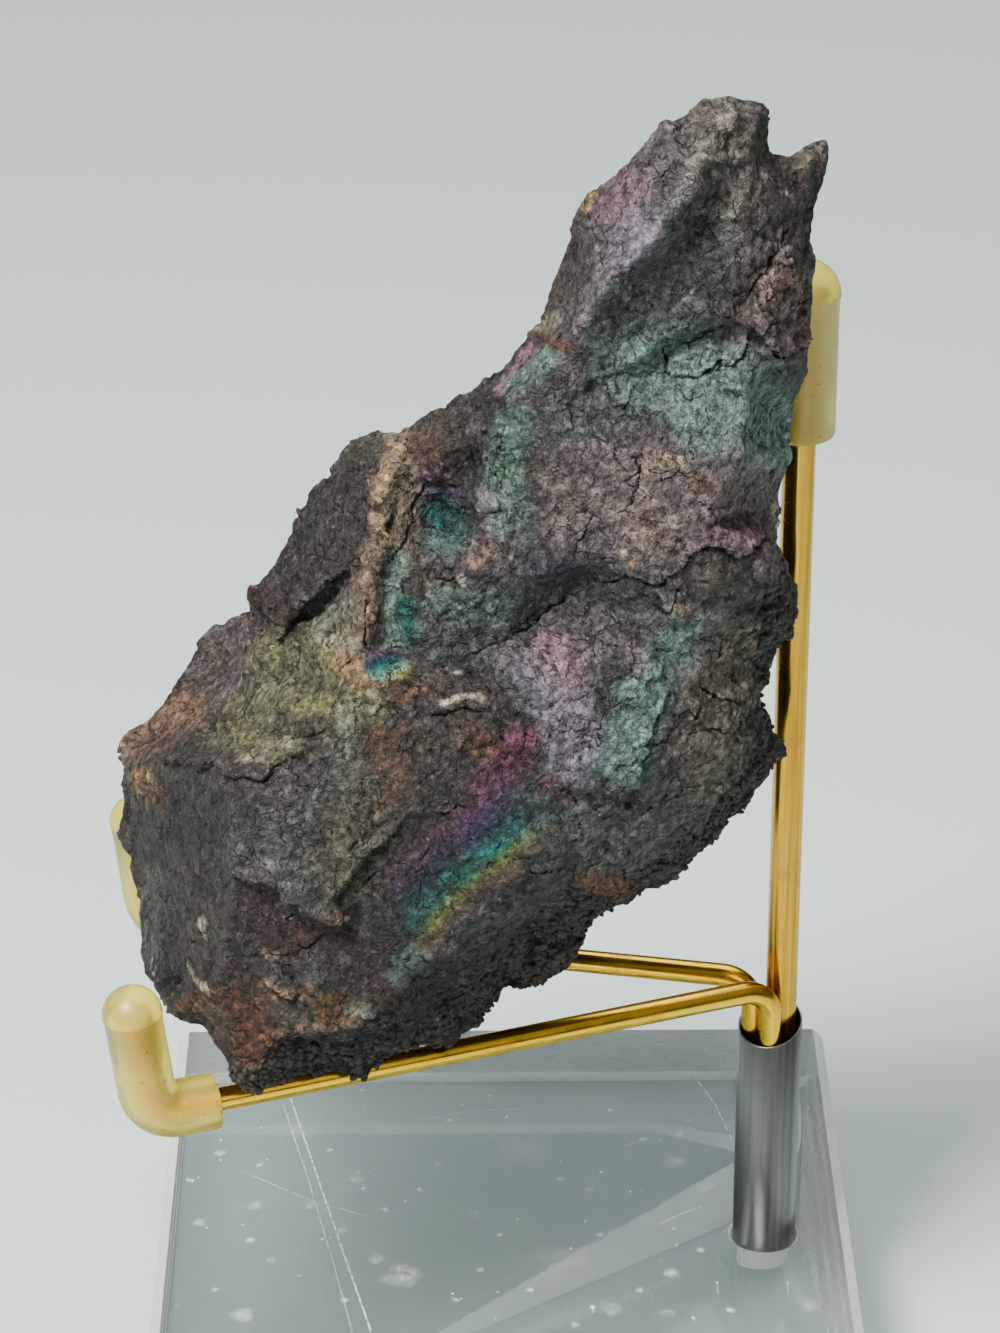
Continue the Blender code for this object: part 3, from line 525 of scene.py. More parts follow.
def arm_route(bearing, elbow_x, elbow_y):
    """An arm from inside the tube, level to its elbow and up again, leaning outwards."""
    foot = stand_in_tube(bearing, ARM_RADIUS)
    shoulder = foot + Vector((0, 0, ARM_HEIGHT))
    elbow = Vector((elbow_x * MM, elbow_y * MM, ARM_HEIGHT))
    level = (elbow - shoulder).normalized()
    end = elbow + level * ARM_LEAN + Vector((0, 0, ARM_RISE))
    return bent_route([foot + Vector((0, 0, WIRE_FOOT)), shoulder, elbow, end], ARM_BEND)


post_foot = stand_in_tube(40.0, POST_RADIUS)
ROUTES = {
    "front_arm": (ARM_RADIUS, arm_route(bearing=-95.7, elbow_x=-42.2, elbow_y=-30.1)),
    "rear_arm": (ARM_RADIUS, arm_route(bearing=175.7, elbow_x=-44.4, elbow_y=15.4)),
    "post": (POST_RADIUS, [post_foot + Vector((0, 0, WIRE_FOOT)), post_foot + Vector((0, 0, POST_TOP))]),
}

# The post's tones are painted shade: it is the same brass as the arms, made darker to stand in for the
# darker surroundings it reflects.
BRASS_TONES = {
    "arm": ((0.72, 0.39, 0.016, 1), (0.92, 0.54, 0.035, 1)),
    "post": ((0.40, 0.19, 0.014, 1), (0.64, 0.35, 0.040, 1)),
}


def polished_brass(name, dark, light):
    """Brass with die lines along the wire and tarnish in clouds."""
    brass, tree, surface = finish(name, Metallic=1.0)
    along = node(tree, "ShaderNodeAttribute", attribute_name="along").outputs["Fac"]
    around = node(tree, "ShaderNodeAttribute", attribute_name="around").outputs["Vector"]
    run_on = node(tree, "ShaderNodeCombineXYZ", {"Z": along}).outputs[0]
    on_wire = node(tree, "ShaderNodeVectorMath", {0: around, 1: run_on}, operation="ADD").outputs[0]
    die_lines = node(tree, "ShaderNodeMapping", {"Vector": on_wire, "Scale": (1, 1, 0.015)})
    drawn = speckle(tree, die_lines.outputs[0], 0.45, detail=4.0)
    worn = speckle(tree, on_wire, 5.0, detail=6.0, rough=0.7)
    clean = blended(tree, ranged(tree, drawn, 0.35, 0.65, 0, 1), dark, light)
    tree.links.new(blended(tree, ranged(tree, worn, 0.52, 0.72, 0.0, 0.75), clean,
                           (0.36, 0.19, 0.035, 1)), surface.inputs["Base Color"])
    tree.links.new(ranged(tree, worn, 0.3, 0.75, 0.12, 0.34), surface.inputs["Roughness"])
    tree.links.new(bumped(tree, drawn, 0.012), surface.inputs["Normal"])
    return brass


wire_brass = polished_brass("polished brass", *BRASS_TONES["arm"])
post_brass_painted_darker = polished_brass("post brass painted darker", *BRASS_TONES["post"])
WIRE_SIDES = 40
drawing, drawing_keys, given = geometry_tree("drawn wire", Radius=ARM_RADIUS)
line = node(drawing, "GeometryNodeMeshToCurve", {"Mesh": given["Geometry"]})
measured = node(drawing, "GeometryNodeStoreNamedAttribute",
                {"Geometry": line.outputs[0], "Name": "along",
                 "Value": node(drawing, "GeometryNodeSplineParameter").outputs["Length"]})
disc = node(drawing, "GeometryNodeCurvePrimitiveCircle", {"Resolution": WIRE_SIDES,
                                                          "Radius": given["Radius"]})
marked = node(drawing, "GeometryNodeStoreNamedAttribute",
              {"Geometry": disc.outputs[0], "Name": "around",
               "Value": node(drawing, "GeometryNodeInputPosition").outputs[0]},
              data_type="FLOAT_VECTOR")
swept = node(drawing, "GeometryNodeCurveToMesh", {"Curve": measured.outputs[0],
                                                  "Profile Curve": marked.outputs[0],
                                                  "Fill Caps": True})
smoothed = node(drawing, "GeometryNodeSetShadeSmooth", {"Geometry": swept.outputs[0]})
ended(drawing, smoothed.outputs[0], wire_brass)
for wire_name, (radius, route) in ROUTES.items():
    wire = grown(polyline(wire_name + " line", [route]), wire_name + "_wire", drawing, drawing_keys,
                 Radius=radius)
    # The post takes the same brass painted darker, as painted shade.
    if wire_name == "post":
        wire.data.materials[0] = post_brass_painted_darker
    with_stand(wire, "brass", wire_name)

# Sleeves: frosted silicone caps, dipped and pulled over the wire ends, yellowed a little, through
# which the brass shows as a warm band.
SLEEVE_CLEAR = 0.2 * MM
SLEEVE_SIDES, BALL_STEPS = 48, 12
RIM_ROUND = 0.3 * MM
# The wire that it covers, then its length, outer radius and ball radius in millimetres.
SLEEVES = {
    "front_tip": ("front_arm", 20.6, 3.45, 3.6),
    "rear_tip": ("rear_arm", 20.6, 3.45, 3.6),
    "post_tip": ("post", 17.2, 4.15, 4.3),
}

silicone, tree, surface = finish("frosted silicone", IOR=1.41, Transmission_Weight=0.80,
                                 Subsurface_Weight=0.5, Subsurface_Scale=0.004,
                                 Subsurface_Radius=(0.9, 0.9, 0.6))
where = place_of(tree)
cloud = speckle(tree, where, 5.0, detail=4.0)
motes = node(tree, "ShaderNodeTexVoronoi", {"Vector": where, "Scale": 260.0}).outputs["Distance"]
milky = blended(tree, ranged(tree, cloud, 0.35, 0.68, 0, 1), (0.99, 0.74, 0.10, 1),
                (1.0, 0.83, 0.20, 1))
tree.links.new(blended(tree, ranged(tree, motes, 0.008, 0.022, 0.4, 0.0), milky,
                       (0.16, 0.12, 0.07, 1)), surface.inputs["Base Color"])
tree.links.new(ranged(tree, speckle(tree, where, 1.0), 0.3, 0.7, 0.26, 0.42),
               surface.inputs["Roughness"])
tree.links.new(bumped(tree, speckle(tree, where, 1.6, detail=5.0), 0.03), surface.inputs["Normal"])


def route_frames(route):
    """Position, direction and two cross directions at each point, carried along without twist."""
    frames, across = [], None
    for index, point in enumerate(route):
        ahead = route[min(index + 1, len(route) - 1)] - route[max(index - 1, 0)]
        ahead = ahead.normalized()
        if across is None:
            across = ahead.orthogonal().normalized()
        across = (across - ahead * across.dot(ahead)).normalized()
        frames.append((point, ahead, across, ahead.cross(across)))
    return frames


def last_stretch(route, length):
    """The part of the route that ends with it and has the given length."""
    kept = [route[-1]]
    for near, far in zip(route[::-1], route[-2::-1]):
        step = (far - near).length
        if step > length:
            kept.append(near + (far - near) * length / step)
            break
        length -= step
        kept.append(far)
    return kept[::-1]


for sleeve_name, (wire_name, length, outer, ball) in SLEEVES.items():
    wire_radius, route = ROUTES[wire_name]
    over = last_stretch(route, length * MM)
    over[-1] += (over[-1] - over[-2]).normalized() * SLEEVE_CLEAR
    outer, ball, bore = outer * MM, ball * MM, wire_radius + SLEEVE_CLEAR
    stations = route_frames(over)
    start, heading, across, up = stations[0]
    rings = [ring(p, a, b, bore, SLEEVE_SIDES) for p, _, a, b in stations[:0:-1]]
    for back, radius in ((RIM_ROUND, bore), (0.0, bore + RIM_ROUND), (0.0, outer - RIM_ROUND),
                         (0.3 * RIM_ROUND, outer - 0.3 * RIM_ROUND), (RIM_ROUND, outer)):
        rings.append(ring(start + heading * back, across, up, radius, SLEEVE_SIDES))
    rings += [ring(p, a, b, outer, SLEEVE_SIDES) for p, _, a, b in stations[1:]]
    tip, heading, across, up = stations[-1]
    for step in range(BALL_STEPS):
        angle = math.pi / 2 * (step + 0.2) / BALL_STEPS
        rings.append(ring(tip + heading * ball * math.sin(angle), across, up,
                          ball * math.cos(angle), SLEEVE_SIDES))
    sleeve = shown(sleeve_name + "_sleeve", skinned(rings), silicone, sharp=60)
    with_stand(sleeve, "silicone", sleeve_name)

# Limonite: a broken hand specimen of iron oxide, brittle and heavy. A thin film on its faces shows
# iridescent colours, ochre and rust lie in the low places, and its lower edge is a black grainy
# crust. The solid's skin is smoothed finely, then swollen, stepped, pitted and cracked.
SKIN_VOXEL, SKIN_ROUNDING, SKIN_TRIANGLES = 0.35 * MM, 13, 150000
BROAD_SWELL, KNOB_SWELL, GRAIN_SWELL = (9.0, 0.35), (3.4, 0.38), (1.15, 0.25)
PLATE_SIZE, PLATE_STEP = 6.5 * MM, 0.20
STAND_CLEARANCE, DEEPEST_TOUCH = 0.14 * MM, 1.2 * MM
HORN_TIP, HORN_REACH = (826, 140), 1.5 * MM
CRACK_WIDTH, WELD = 0.46, 0.002 * MM
CELL_MIX = (73856093, 19349663, 83492791)
TO_CAMERA = np.array(camera.rotation_euler.to_matrix())
EYE_POINT = np.array(EYE)


def mixed(cell):
    """A whole number for each cell, with no pattern from one cell to the next."""
    at = cell * CELL_MIX
    return at[:, 0] ^ at[:, 1] ^ at[:, 2]


def grains(points, size, seed, octaves=1):
    """Smooth noise, about -1 to 1, whose swells are about size millimetres across."""
    slopes = np.random.default_rng(seed).normal(size=(256, 3))
    total, scale, weight = np.zeros(len(points)), size * MM, 1.0
    for octave in range(octaves):
        spot = points / scale + 31.7 * octave
        cell = np.floor(spot).astype(np.int64)
        part = spot - cell
        ease = part ** 3 * (part * (part * 6 - 15) + 10)
        for corner in np.ndindex(2, 2, 2):
            pick = slopes[mixed(cell + corner) & 255]
            share = np.prod(np.where(corner, ease, 1 - ease), axis=1)
            total += weight * share * np.einsum("ij,ij->i", pick, part - corner)
        scale, weight = scale / 2, weight / 2
    return total


def nearest_seed(points, size, seed):
    """For each point a number of its own for the nearest of scattered seeds, and how far it is."""
    spot = points / size
    cell = np.floor(spot).astype(np.int64)
    best, chosen = np.full(len(points), 9.0), np.zeros(len(points))
    table = np.random.default_rng(seed).random((1024, 4))
    for corner in np.ndindex(3, 3, 3):
        home = cell + corner - 1
        pick = table[mixed(home) & 1023]
        distance = np.linalg.norm(home + pick[:, :3] - spot, axis=1)
        closer = distance < best
        best[closer], chosen[closer] = distance[closer], pick[closer, 3]
    return chosen, best


def eased(value, low, high):
    """0 below low, 1 above high, and a smooth change between."""
    share = np.clip((value - low) / (high - low), 0, 1)
    return share * share * (3 - 2 * share)


def points_and_normals(data):
    """The mesh's points and their normals as arrays."""
    points, normals = np.empty(len(data.vertices) * 3), np.empty(len(data.vertices) * 3)
    data.vertices.foreach_get("co", points)
    data.vertex_normals.foreach_get("vector", normals)
    return points.reshape(-1, 3), normals.reshape(-1, 3)


def moved(data, points):
    """The mesh takes these points."""
    data.vertices.foreach_set("co", points.astype(np.float32).ravel())
    data.update()


def photo_pixels(points):
    """Where the points lie in the 1000 x 1333 photograph."""
    seen = (points - EYE_POINT) @ TO_CAMERA
    flat = seen[:, :2] / -seen[:, 2:] * PHOTO_FOCAL
    return flat * (1, -1) + (PHOTO_WIDTH / 2, PHOTO_HEIGHT / 2)


def from_line(pixels, line):
    """Distance of pixels from a run of points, and the side they lie on, right being positive."""
    best, side = np.full(len(pixels), 1e9), np.zeros(len(pixels))
    line = np.array(line, float)
    if len(line) == 1:
        return np.linalg.norm(pixels - line[0], axis=1), side
    for start, end in zip(line, line[1:]):
        span = end - start
        share = np.clip((pixels - start) @ span / (span @ span), 0, 1)
        away = pixels - start - share[:, None] * span
        distance = np.linalg.norm(away, axis=1)
        closer = distance < best
        best[closer] = distance[closer]
        side[closer] = np.sign(span[0] * away[closer, 1] - span[1] * away[closer, 0])
    return best, side


# Parts of the skin that are rubble rather than faces: reach in pixels, and the line they follow.
ROUGH_ZONES = [
    (44, [(490, 420), (440, 460), (400, 430)]), (30, [(480, 500), (480, 570), (440, 590)]),
    (70, [(330, 480), (280, 580)]), (34, [(500, 700), (560, 740), (500, 740)]),
    (40, [(775, 600), (775, 700), (770, 780), (700, 850)]), (50, [(600, 930), (520, 980), (420, 1030)]),
    (40, [(400, 1050), (270, 1065)]), (30, [(400, 700), (450, 730)]), (26, [(770, 260), (790, 330)]),
    (24, [(210, 730), (290, 750)]),
]
merged = bmesh.new()
merged.from_mesh(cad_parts["limonite"].data)
bmesh.ops.remove_doubles(merged, verts=merged.verts, dist=WELD)
blank = shown("limonite_blank", merged)
skin = blank.modifiers.new("skin", "REMESH")
skin.mode, skin.voxel_size = "VOXEL", SKIN_VOXEL
rounding = blank.modifiers.new("rounding", "SMOOTH")
rounding.iterations, rounding.factor = SKIN_ROUNDING, 0.5
blank = settled(blank, "limonite_blank")
points, normals = points_and_normals(blank.data)
swell = BROAD_SWELL[1] * grains(points, BROAD_SWELL[0], 11)
bent = points + 1.3 * MM * np.stack([grains(points, 4.0, seed) for seed in (21, 22, 23)], 1)
plate, _ = nearest_seed(bent, PLATE_SIZE, 24)
swell += PLATE_STEP * (2 * plate - 1)
rough = np.zeros(len(points))
for reach, line in ROUGH_ZONES:
    distance, _ = from_line(photo_pixels(points), line)
    rough = np.maximum(rough, eased(1.3 - distance / reach, 0.0, 0.6))
knobs = np.abs(grains(points, KNOB_SWELL[0], 12, 2))
swell += KNOB_SWELL[1] * (0.5 - 1.1 * np.exp(-knobs * 7)) * (0.45 + 0.75 * rough)
swell += GRAIN_SWELL[1] * grains(points, GRAIN_SWELL[0], 13, 2) * (0.65 + 0.5 * rough)
moved(blank.data, points + normals * swell[:, None] * MM)

toward = EYE_POINT - points
facing = np.einsum("ij,ij->i", normals, toward / np.linalg.norm(toward, axis=1)[:, None])
thinning = blank.vertex_groups.new(name="thinned")
behind = 1 - eased(facing, -0.35, 0.0)
for level in range(1, 5):
    chosen = np.nonzero(np.ceil(1 + 3 * behind) == level)[0]
    thinning.add(chosen.tolist(), level / 4, "REPLACE")
fewer = blank.modifiers.new("fewer", "DECIMATE")
fewer.ratio = min(1.0, SKIN_TRIANGLES / (2 * len(blank.data.polygons)))
fewer.vertex_group, fewer.vertex_group_factor = "thinned", 1.6
blank = settled(blank, "limonite_blank")

# Width in pixels, depth in millimetres, and the line it follows.
CRACKS = [
    (2.6, 0.55, [(442, 668), (452, 662), (475, 655), (490, 645), (505, 640), (515, 634), (528, 631),
                (540, 618), (555, 607), (567, 597), (582, 592), (590, 580), (612, 583), (622, 580)]),
    (3.0, 0.6, [(600, 560), (610, 560), (618, 567), (625, 575), (640, 580), (650, 583), (665, 583),
                (668, 575), (680, 572), (686, 562), (690, 553), (700, 548), (718, 546), (725, 550),
                (728, 556), (738, 558), (748, 555), (755, 547), (765, 540)]),
    (2.6, 0.5, [(640, 590), (650, 598), (668, 615), (680, 590)]),
    (2.6, 0.5, [(620, 485), (632, 478), (640, 470), (637, 460), (632, 458)]),
    (2.6, 0.5, [(640, 465), (640, 485), (632, 492), (630, 505), (620, 512), (615, 515)]),
    (2.2, 0.4, [(660, 480), (670, 478), (680, 470)]),
    (2.2, 0.4, [(590, 520), (587, 530), (583, 538), (576, 545), (575, 555)]),
    (2.8, 0.6, [(712, 330), (700, 338), (680, 345), (663, 347), (662, 352), (668, 362), (667, 372),
                (680, 377), (700, 377), (712, 368), (722, 360), (722, 367), (730, 367), (742, 357),
                (747, 345), (748, 335)]),
    (2.4, 0.4, [(620, 370), (640, 378), (655, 373)]),
    (2.4, 0.4, [(605, 380), (608, 395), (612, 405), (625, 410), (632, 400), (632, 390), (640, 392),
                (655, 395)]),
    (3.0, 0.7, [(787, 232), (783, 245), (770, 262), (752, 290), (735, 310), (730, 317)]),
    (2.4, 0.5, [(783, 255), (793, 260), (800, 272)]),
    (2.6, 0.5, [(745, 318), (755, 312), (765, 302), (780, 292), (790, 285)]),
    (2.4, 0.5, [(760, 335), (770, 325), (782, 322), (795, 308), (808, 300)]),
    (4.2, 1.1, [(728, 318), (740, 322), (750, 325), (758, 332), (765, 340), (770, 350), (780, 358),
                (790, 358), (800, 350), (808, 342)]),
    (2.6, 0.5, [(505, 435), (500, 445), (497, 455), (493, 470), (500, 478)]),
    (2.6, 0.5, [(362, 555), (352, 562), (345, 572), (335, 580), (318, 595), (305, 605), (298, 615),
                (284, 635), (275, 642), (255, 655)]),
    (3.0, 0.6, [(366, 500), (367, 520), (360, 545)]),
    (3.0, 0.8, [(366, 600), (365, 640), (367, 650), (375, 652), (390, 648), (400, 645)]),
    (3.0, 0.6, [(430, 480), (415, 500), (410, 530), (400, 552), (385, 560)]),
    (2.6, 0.5, [(437, 560), (434, 568), (438, 577), (447, 581), (455, 577)]),
    (2.4, 0.5, [(450, 572), (465, 565), (478, 560)]),
    (2.6, 0.6, [(432, 716), (445, 715), (460, 708), (482, 711)]),
    (3.2, 0.8, [(470, 672), (480, 680), (490, 690)]),
    (2.4, 0.4, [(280, 717), (300, 700)]),
    (2.4, 0.4, [(275, 745), (262, 750), (240, 770)]),
    (2.8, 0.6, [(305, 735), (315, 733), (327, 727)]),
    (2.2, 0.4, [(243, 690), (244, 705)]),
    (2.4, 0.5, [(340, 667), (352, 657), (360, 652)]),
    (2.6, 0.5, [(165, 765), (190, 765), (200, 770), (215, 763), (230, 778), (250, 778), (262, 783),
                (278, 765)]),
    (2.2, 0.4, [(365, 832), (358, 840), (350, 848)]),
    (2.6, 0.5, [(288, 920), (295, 912), (305, 910), (322, 922)]),
    (2.6, 0.5, [(298, 952), (320, 940), (328, 935)]),
    (2.4, 0.4, [(250, 955), (275, 955), (290, 953)]),
    (2.4, 0.5, [(360, 890), (367, 882), (378, 873), (390, 872)]),
    (2.4, 0.5, [(575, 815), (582, 825), (582, 835), (575, 843)]),
    (2.2, 0.4, [(515, 855), (530, 860)]),
    (2.4, 0.5, [(530, 872), (545, 876), (560, 872), (565, 865)]),
    (2.4, 0.5, [(575, 865), (572, 880), (567, 895)]),
    (2.4, 0.5, [(627, 850), (622, 878)]),
    (2.2, 0.4, [(420, 783), (440, 770)]),
    (2.0, 0.35, [(540, 692), (550, 690)]),
    (2.0, 0.35, [(535, 665), (545, 680)]),
    (2.0, 0.35, [(570, 730), (582, 731)]),
    (2.0, 0.35, [(600, 700), (620, 703)]),
    (3.0, 0.7, [(665, 700), (655, 728), (650, 737), (648, 750), (640, 778)]),
    (2.8, 0.6, [(702, 705), (697, 718), (690, 712), (680, 717), (675, 728), (668, 740), (655, 745)]),
    (2.6, 0.5, [(642, 815), (655, 805), (667, 797)]),
    (4.0, 0.9, [(700, 687), (720, 700), (745, 703)]),
    (3.0, 0.6, [(765, 775), (735, 785), (718, 815)]),
    (3.0, 0.6, [(370, 1025), (395, 1025)]),
    (2.0, 0.4, [(540, 652), (548, 664)]), (2.0, 0.4, [(560, 690), (574, 700)]),
    (2.0, 0.4, [(556, 716), (566, 728)]), (2.0, 0.4, [(592, 688), (606, 700), (622, 702)]),
    (2.2, 0.4, [(500, 738), (508, 748), (506, 760)]), (2.0, 0.4, [(482, 772), (492, 764), (503, 766)]),
    (2.0, 0.4, [(560, 792), (572, 796), (580, 806)]), (2.0, 0.4, [(596, 806), (604, 818)]),
    (2.0, 0.4, [(655, 648), (668, 652)]), (2.0, 0.4, [(700, 655), (712, 650), (722, 655)]),
    (2.2, 0.5, [(690, 735), (712, 728), (735, 735)]), (2.0, 0.4, [(560, 505), (575, 512), (584, 508)]),
    (2.0, 0.4, [(700, 500), (712, 508), (728, 506)]), (2.0, 0.4, [(735, 420), (748, 428), (752, 440)]),
    (2.0, 0.4, [(445, 815), (458, 806), (468, 808)]), (2.0, 0.4, [(420, 860), (430, 850)]),
]
# Rise in millimetres to the right of the line, how far it reaches in pixels, and the line.
LEDGES = [
    (1.4, 34, [(375, 850), (355, 872), (340, 895), (338, 905), (343, 915), (342, 922), (330, 922),
               (320, 917), (300, 905), (275, 890), (260, 884)]),
    (1.0, 26, [(313, 995), (303, 985), (293, 1000), (287, 998), (273, 992), (267, 986)]),
    (0.7, 30, [(385, 1020), (350, 1033), (320, 1030), (280, 1035), (268, 1045)]),
    (0.8, 28, [(808, 342), (800, 350), (790, 358), (780, 358), (770, 350), (765, 340), (758, 332),
               (750, 325), (740, 322), (728, 318)]),
    (0.5, 22, [(748, 335), (747, 345), (742, 357), (730, 367), (722, 360), (712, 368), (700, 377),
               (680, 377), (667, 372)]),
    (0.6, 30, [(765, 540), (755, 547), (748, 555), (738, 558), (728, 556), (725, 550), (718, 546),
               (700, 548), (690, 553), (686, 562), (680, 572), (668, 575), (665, 583), (650, 583),
               (640, 580), (625, 575)]),
    (0.5, 20, [(482, 708), (460, 706), (445, 712), (432, 714)]),
    (0.6, 22, [(278, 765), (262, 783), (250, 778), (230, 778), (215, 763), (200, 770), (190, 765),
               (165, 765)]),
    (0.5, 20, [(500, 478), (493, 470), (497, 455), (500, 445), (505, 435)]),
    (0.5, 18, [(665, 700), (655, 728), (650, 737), (648, 750), (640, 778)]),
    (0.4, 16, [(490, 645), (505, 640), (515, 634), (528, 631), (540, 618), (555, 607), (567, 597)]),
    (0.6, 20, [(345, 572), (335, 580), (318, 595), (305, 605), (298, 615), (284, 635)]),
]
# Knobs and pits: height in millimetres, reach in pixels, and the middle.
LUMPS = [
    (0.9, 14, (488, 500)), (0.8, 12, (470, 565)), (0.8, 8, (442, 568)), (0.9, 14, (778, 750)),
    (0.9, 26, (605, 885)), (0.5, 9, (730, 118)), (-1.3, 10, (172, 983)), (-0.6, 4, (213, 730)),
    (-0.5, 3, (225, 720)), (-0.5, 3, (208, 738)), (-0.5, 4, (235, 716)), (-0.9, 5, (630, 807)),
    (-1.2, 14, (466, 462)), (-0.8, 6, (315, 733)), (0.7, 10, (667, 128)), (0.6, 12, (500, 552)),
    (0.7, 16, (420, 628)), (-0.8, 8, (412, 612)), (0.6, 10, (462, 590)), (0.7, 12, (676, 613)),
    (0.5, 14, (632, 660)), (0.6, 20, (520, 745)), (0.6, 14, (548, 722)), (-0.6, 10, (530, 722)),
    (0.6, 12, (340, 610)), (-0.5, 8, (570, 248)), (0.8, 18, (710, 575)), (0.5, 12, (742, 590)),
    (0.6, 16, (780, 620)), (-0.6, 12, (762, 665)), (0.8, 16, (560, 955)), (-0.8, 14, (535, 935)),
    (0.8, 18, (480, 985)), (-0.8, 14, (445, 1000)), (0.7, 16, (395, 1040)), (-0.7, 12, (360, 1050)),
    (0.6, 12, (205, 925)), (0.7, 14, (210, 985)), (0.6, 9, (145, 785)), (-0.5, 6, (160, 800)),
    (0.6, 8, (383, 487)), (-0.6, 6, (376, 508)), (0.5, 7, (402, 452)), (0.6, 7, (379, 550)),
    (-0.6, 5, (390, 527)), (-0.5, 5, (374, 470)), (0.5, 6, (366, 582)), (-0.6, 8, (610, 870)),
]
# Sharp edges between faces: rise in millimetres, reach in pixels, and the line.
ARRISES = [
    (0.75, 7, [(236, 800), (238, 880), (227, 940), (223, 985), (231, 1020), (245, 1075)]),
    (0.50, 7, [(700, 185), (680, 203), (665, 222), (650, 240), (625, 262), (610, 280), (598, 300),
               (583, 320), (570, 340)]),
    (0.25, 9, [(392, 448), (384, 500), (380, 550), (372, 600)]),
    (0.45, 6, [(322, 785), (300, 835), (264, 882)]),
    (0.45, 6, [(500, 432), (488, 480), (500, 530)]),
    (0.50, 7, [(262, 652), (245, 668), (232, 692), (210, 712), (190, 735), (165, 750), (132, 780)]),
    (0.45, 6, [(440, 590), (470, 600), (500, 590)]), (0.40, 6, [(655, 500), (700, 520), (760, 500)]),
    (0.45, 6, [(660, 790), (640, 830), (600, 860)]), (0.45, 6, [(300, 1005), (262, 1055), (246, 1080)]),
    (0.40, 6, [(760, 105), (745, 150), (715, 180)]), (0.35, 5, [(360, 860), (420, 800), (470, 730)]),
]
cracked = bmesh.new()
cracked.from_mesh(blank.data)
for within, longest in ((4.2, 0.30 * MM), (2.6, 0.19 * MM)):
    cracked.verts.ensure_lookup_table()
    spots = np.array([vert.co for vert in cracked.verts])
    pixels = photo_pixels(spots)
    near = np.full(len(spots), 1e9)
    for width, _, line in CRACKS:
        near = np.minimum(near, from_line(pixels, line)[0])
    outward = np.array([vert.normal for vert in cracked.verts])
    near[np.einsum("ij,ij->i", outward, EYE_POINT - spots) < 0] = 1e9
    close = near < within
    long_edges = [edge for edge in cracked.edges
                  if close[edge.verts[0].index] and close[edge.verts[1].index]
                  and edge.calc_length() > longest]
    bmesh.ops.subdivide_edges(cracked, edges=long_edges, cuts=1)
    bmesh.ops.triangulate(cracked, faces=cracked.faces[:])
cracked.normal_update()
shape = BVHTree.FromBMesh(cracked)
cracked.to_mesh(blank.data)
cracked.free()

points, normals = points_and_normals(blank.data)
pixels = photo_pixels(points)
toward = EYE_POINT - points
toward /= np.linalg.norm(toward, axis=1)[:, None]
facing = np.einsum("ij,ij->i", normals, toward)
CLEAR_OF_SKIN = 0.25 * MM
seen = np.zeros(len(points))
for index in np.nonzero(facing > 0.02)[0]:
    start = Vector(points[index] + CLEAR_OF_SKIN * (normals[index] + toward[index]))
    if shape.ray_cast(start, Vector(toward[index]))[0] is None:
        seen[index] = eased(facing[index], 0.02, 0.12)
wander = np.stack([grains(points, 1.6, seed, 2) for seed in (31, 32)], 1)
jagged = pixels + 2.6 * wander
gaping = np.clip(0.75 + 1.1 * grains(points, 2.6, 34), 0.2, 1.5)
# Painted shade: this mask darkens the colour in the cracks and along the low side of each ledge's lip.
hollow_shade = np.zeros(len(points))
drop = np.zeros(len(points))
for width, depth, line in CRACKS:
    distance, _ = from_line(jagged, line)
    opening = np.clip(1 - distance / (CRACK_WIDTH * width * gaping), 0, 1) * seen
    drop = np.maximum(drop, depth * opening ** 0.8)
    hollow_shade = np.maximum(hollow_shade, eased(opening, 0.0, 0.75))
lift = np.zeros(len(points))
for rise, reach, line in LEDGES:
    distance, side = from_line(jagged, line)
    fading = np.exp(-distance / reach * 2) * seen
    lift += rise * np.where(side > 0, eased(distance, 0, 3) * fading, -0.35 * fading)
    hollow_shade = np.maximum(hollow_shade, 0.6 * fading * (side < 0) * (distance < 5))
for rise, reach, middle in LUMPS:
    distance, _ = from_line(jagged, [middle])
    lift += rise * np.exp(-(distance / reach) ** 2) * seen
# This edge mask later makes the sharp edges paler: partly wear, partly painted highlight.
worn = np.zeros(len(points))
for rise, reach, line in ARRISES:
    distance, _ = from_line(pixels + 1.6 * wander, line)
    lift += rise * np.exp(-distance / reach) * seen
    worn = np.maximum(worn, np.exp(-(distance / 3) ** 2) * seen)
points += normals * (lift - drop + 0.09 * grains(points, 0.6, 33, 2))[:, None] * MM
stand_skins = []
for name in (*ROUTES, *SLEEVES):
    solid_part = bmesh.new()
    solid_part.from_mesh(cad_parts[name].data)
    bmesh.ops.remove_doubles(solid_part, verts=solid_part.verts, dist=WELD)
    bmesh.ops.recalc_face_normals(solid_part, faces=solid_part.faces)
    stand_skin = BVHTree.FromBMesh(solid_part)
    stand_skins.append(stand_skin)
    solid_part.free()
    low, high = (np.array(corner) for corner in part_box(name))
    beside = np.all((points > low - 1 * MM) & (points < high + 1 * MM), axis=1)
    for index in np.nonzero(beside)[0]:
        spot, out, _, away = stand_skin.find_nearest(Vector(points[index]))
        inside = (Vector(points[index]) - spot).dot(out) < 0
        if away < STAND_CLEARANCE or (inside and away < DEEPEST_TOUCH):
            points[index] = spot + out * STAND_CLEARANCE
horn = np.linalg.norm(photo_pixels(points) - HORN_TIP, axis=1)
tip = points[np.argmin(np.where(seen > 0, horn, 1e9))]
line = sight_line(*HORN_TIP).normalized()
drawn_to = np.array(EYE + line * (Vector(tip) - EYE).length)
near_tip = np.exp(-(np.linalg.norm(points - tip, axis=1) / HORN_REACH) ** 2)
points += near_tip[:, None] * (drawn_to - tip)
moved(blank.data, points)

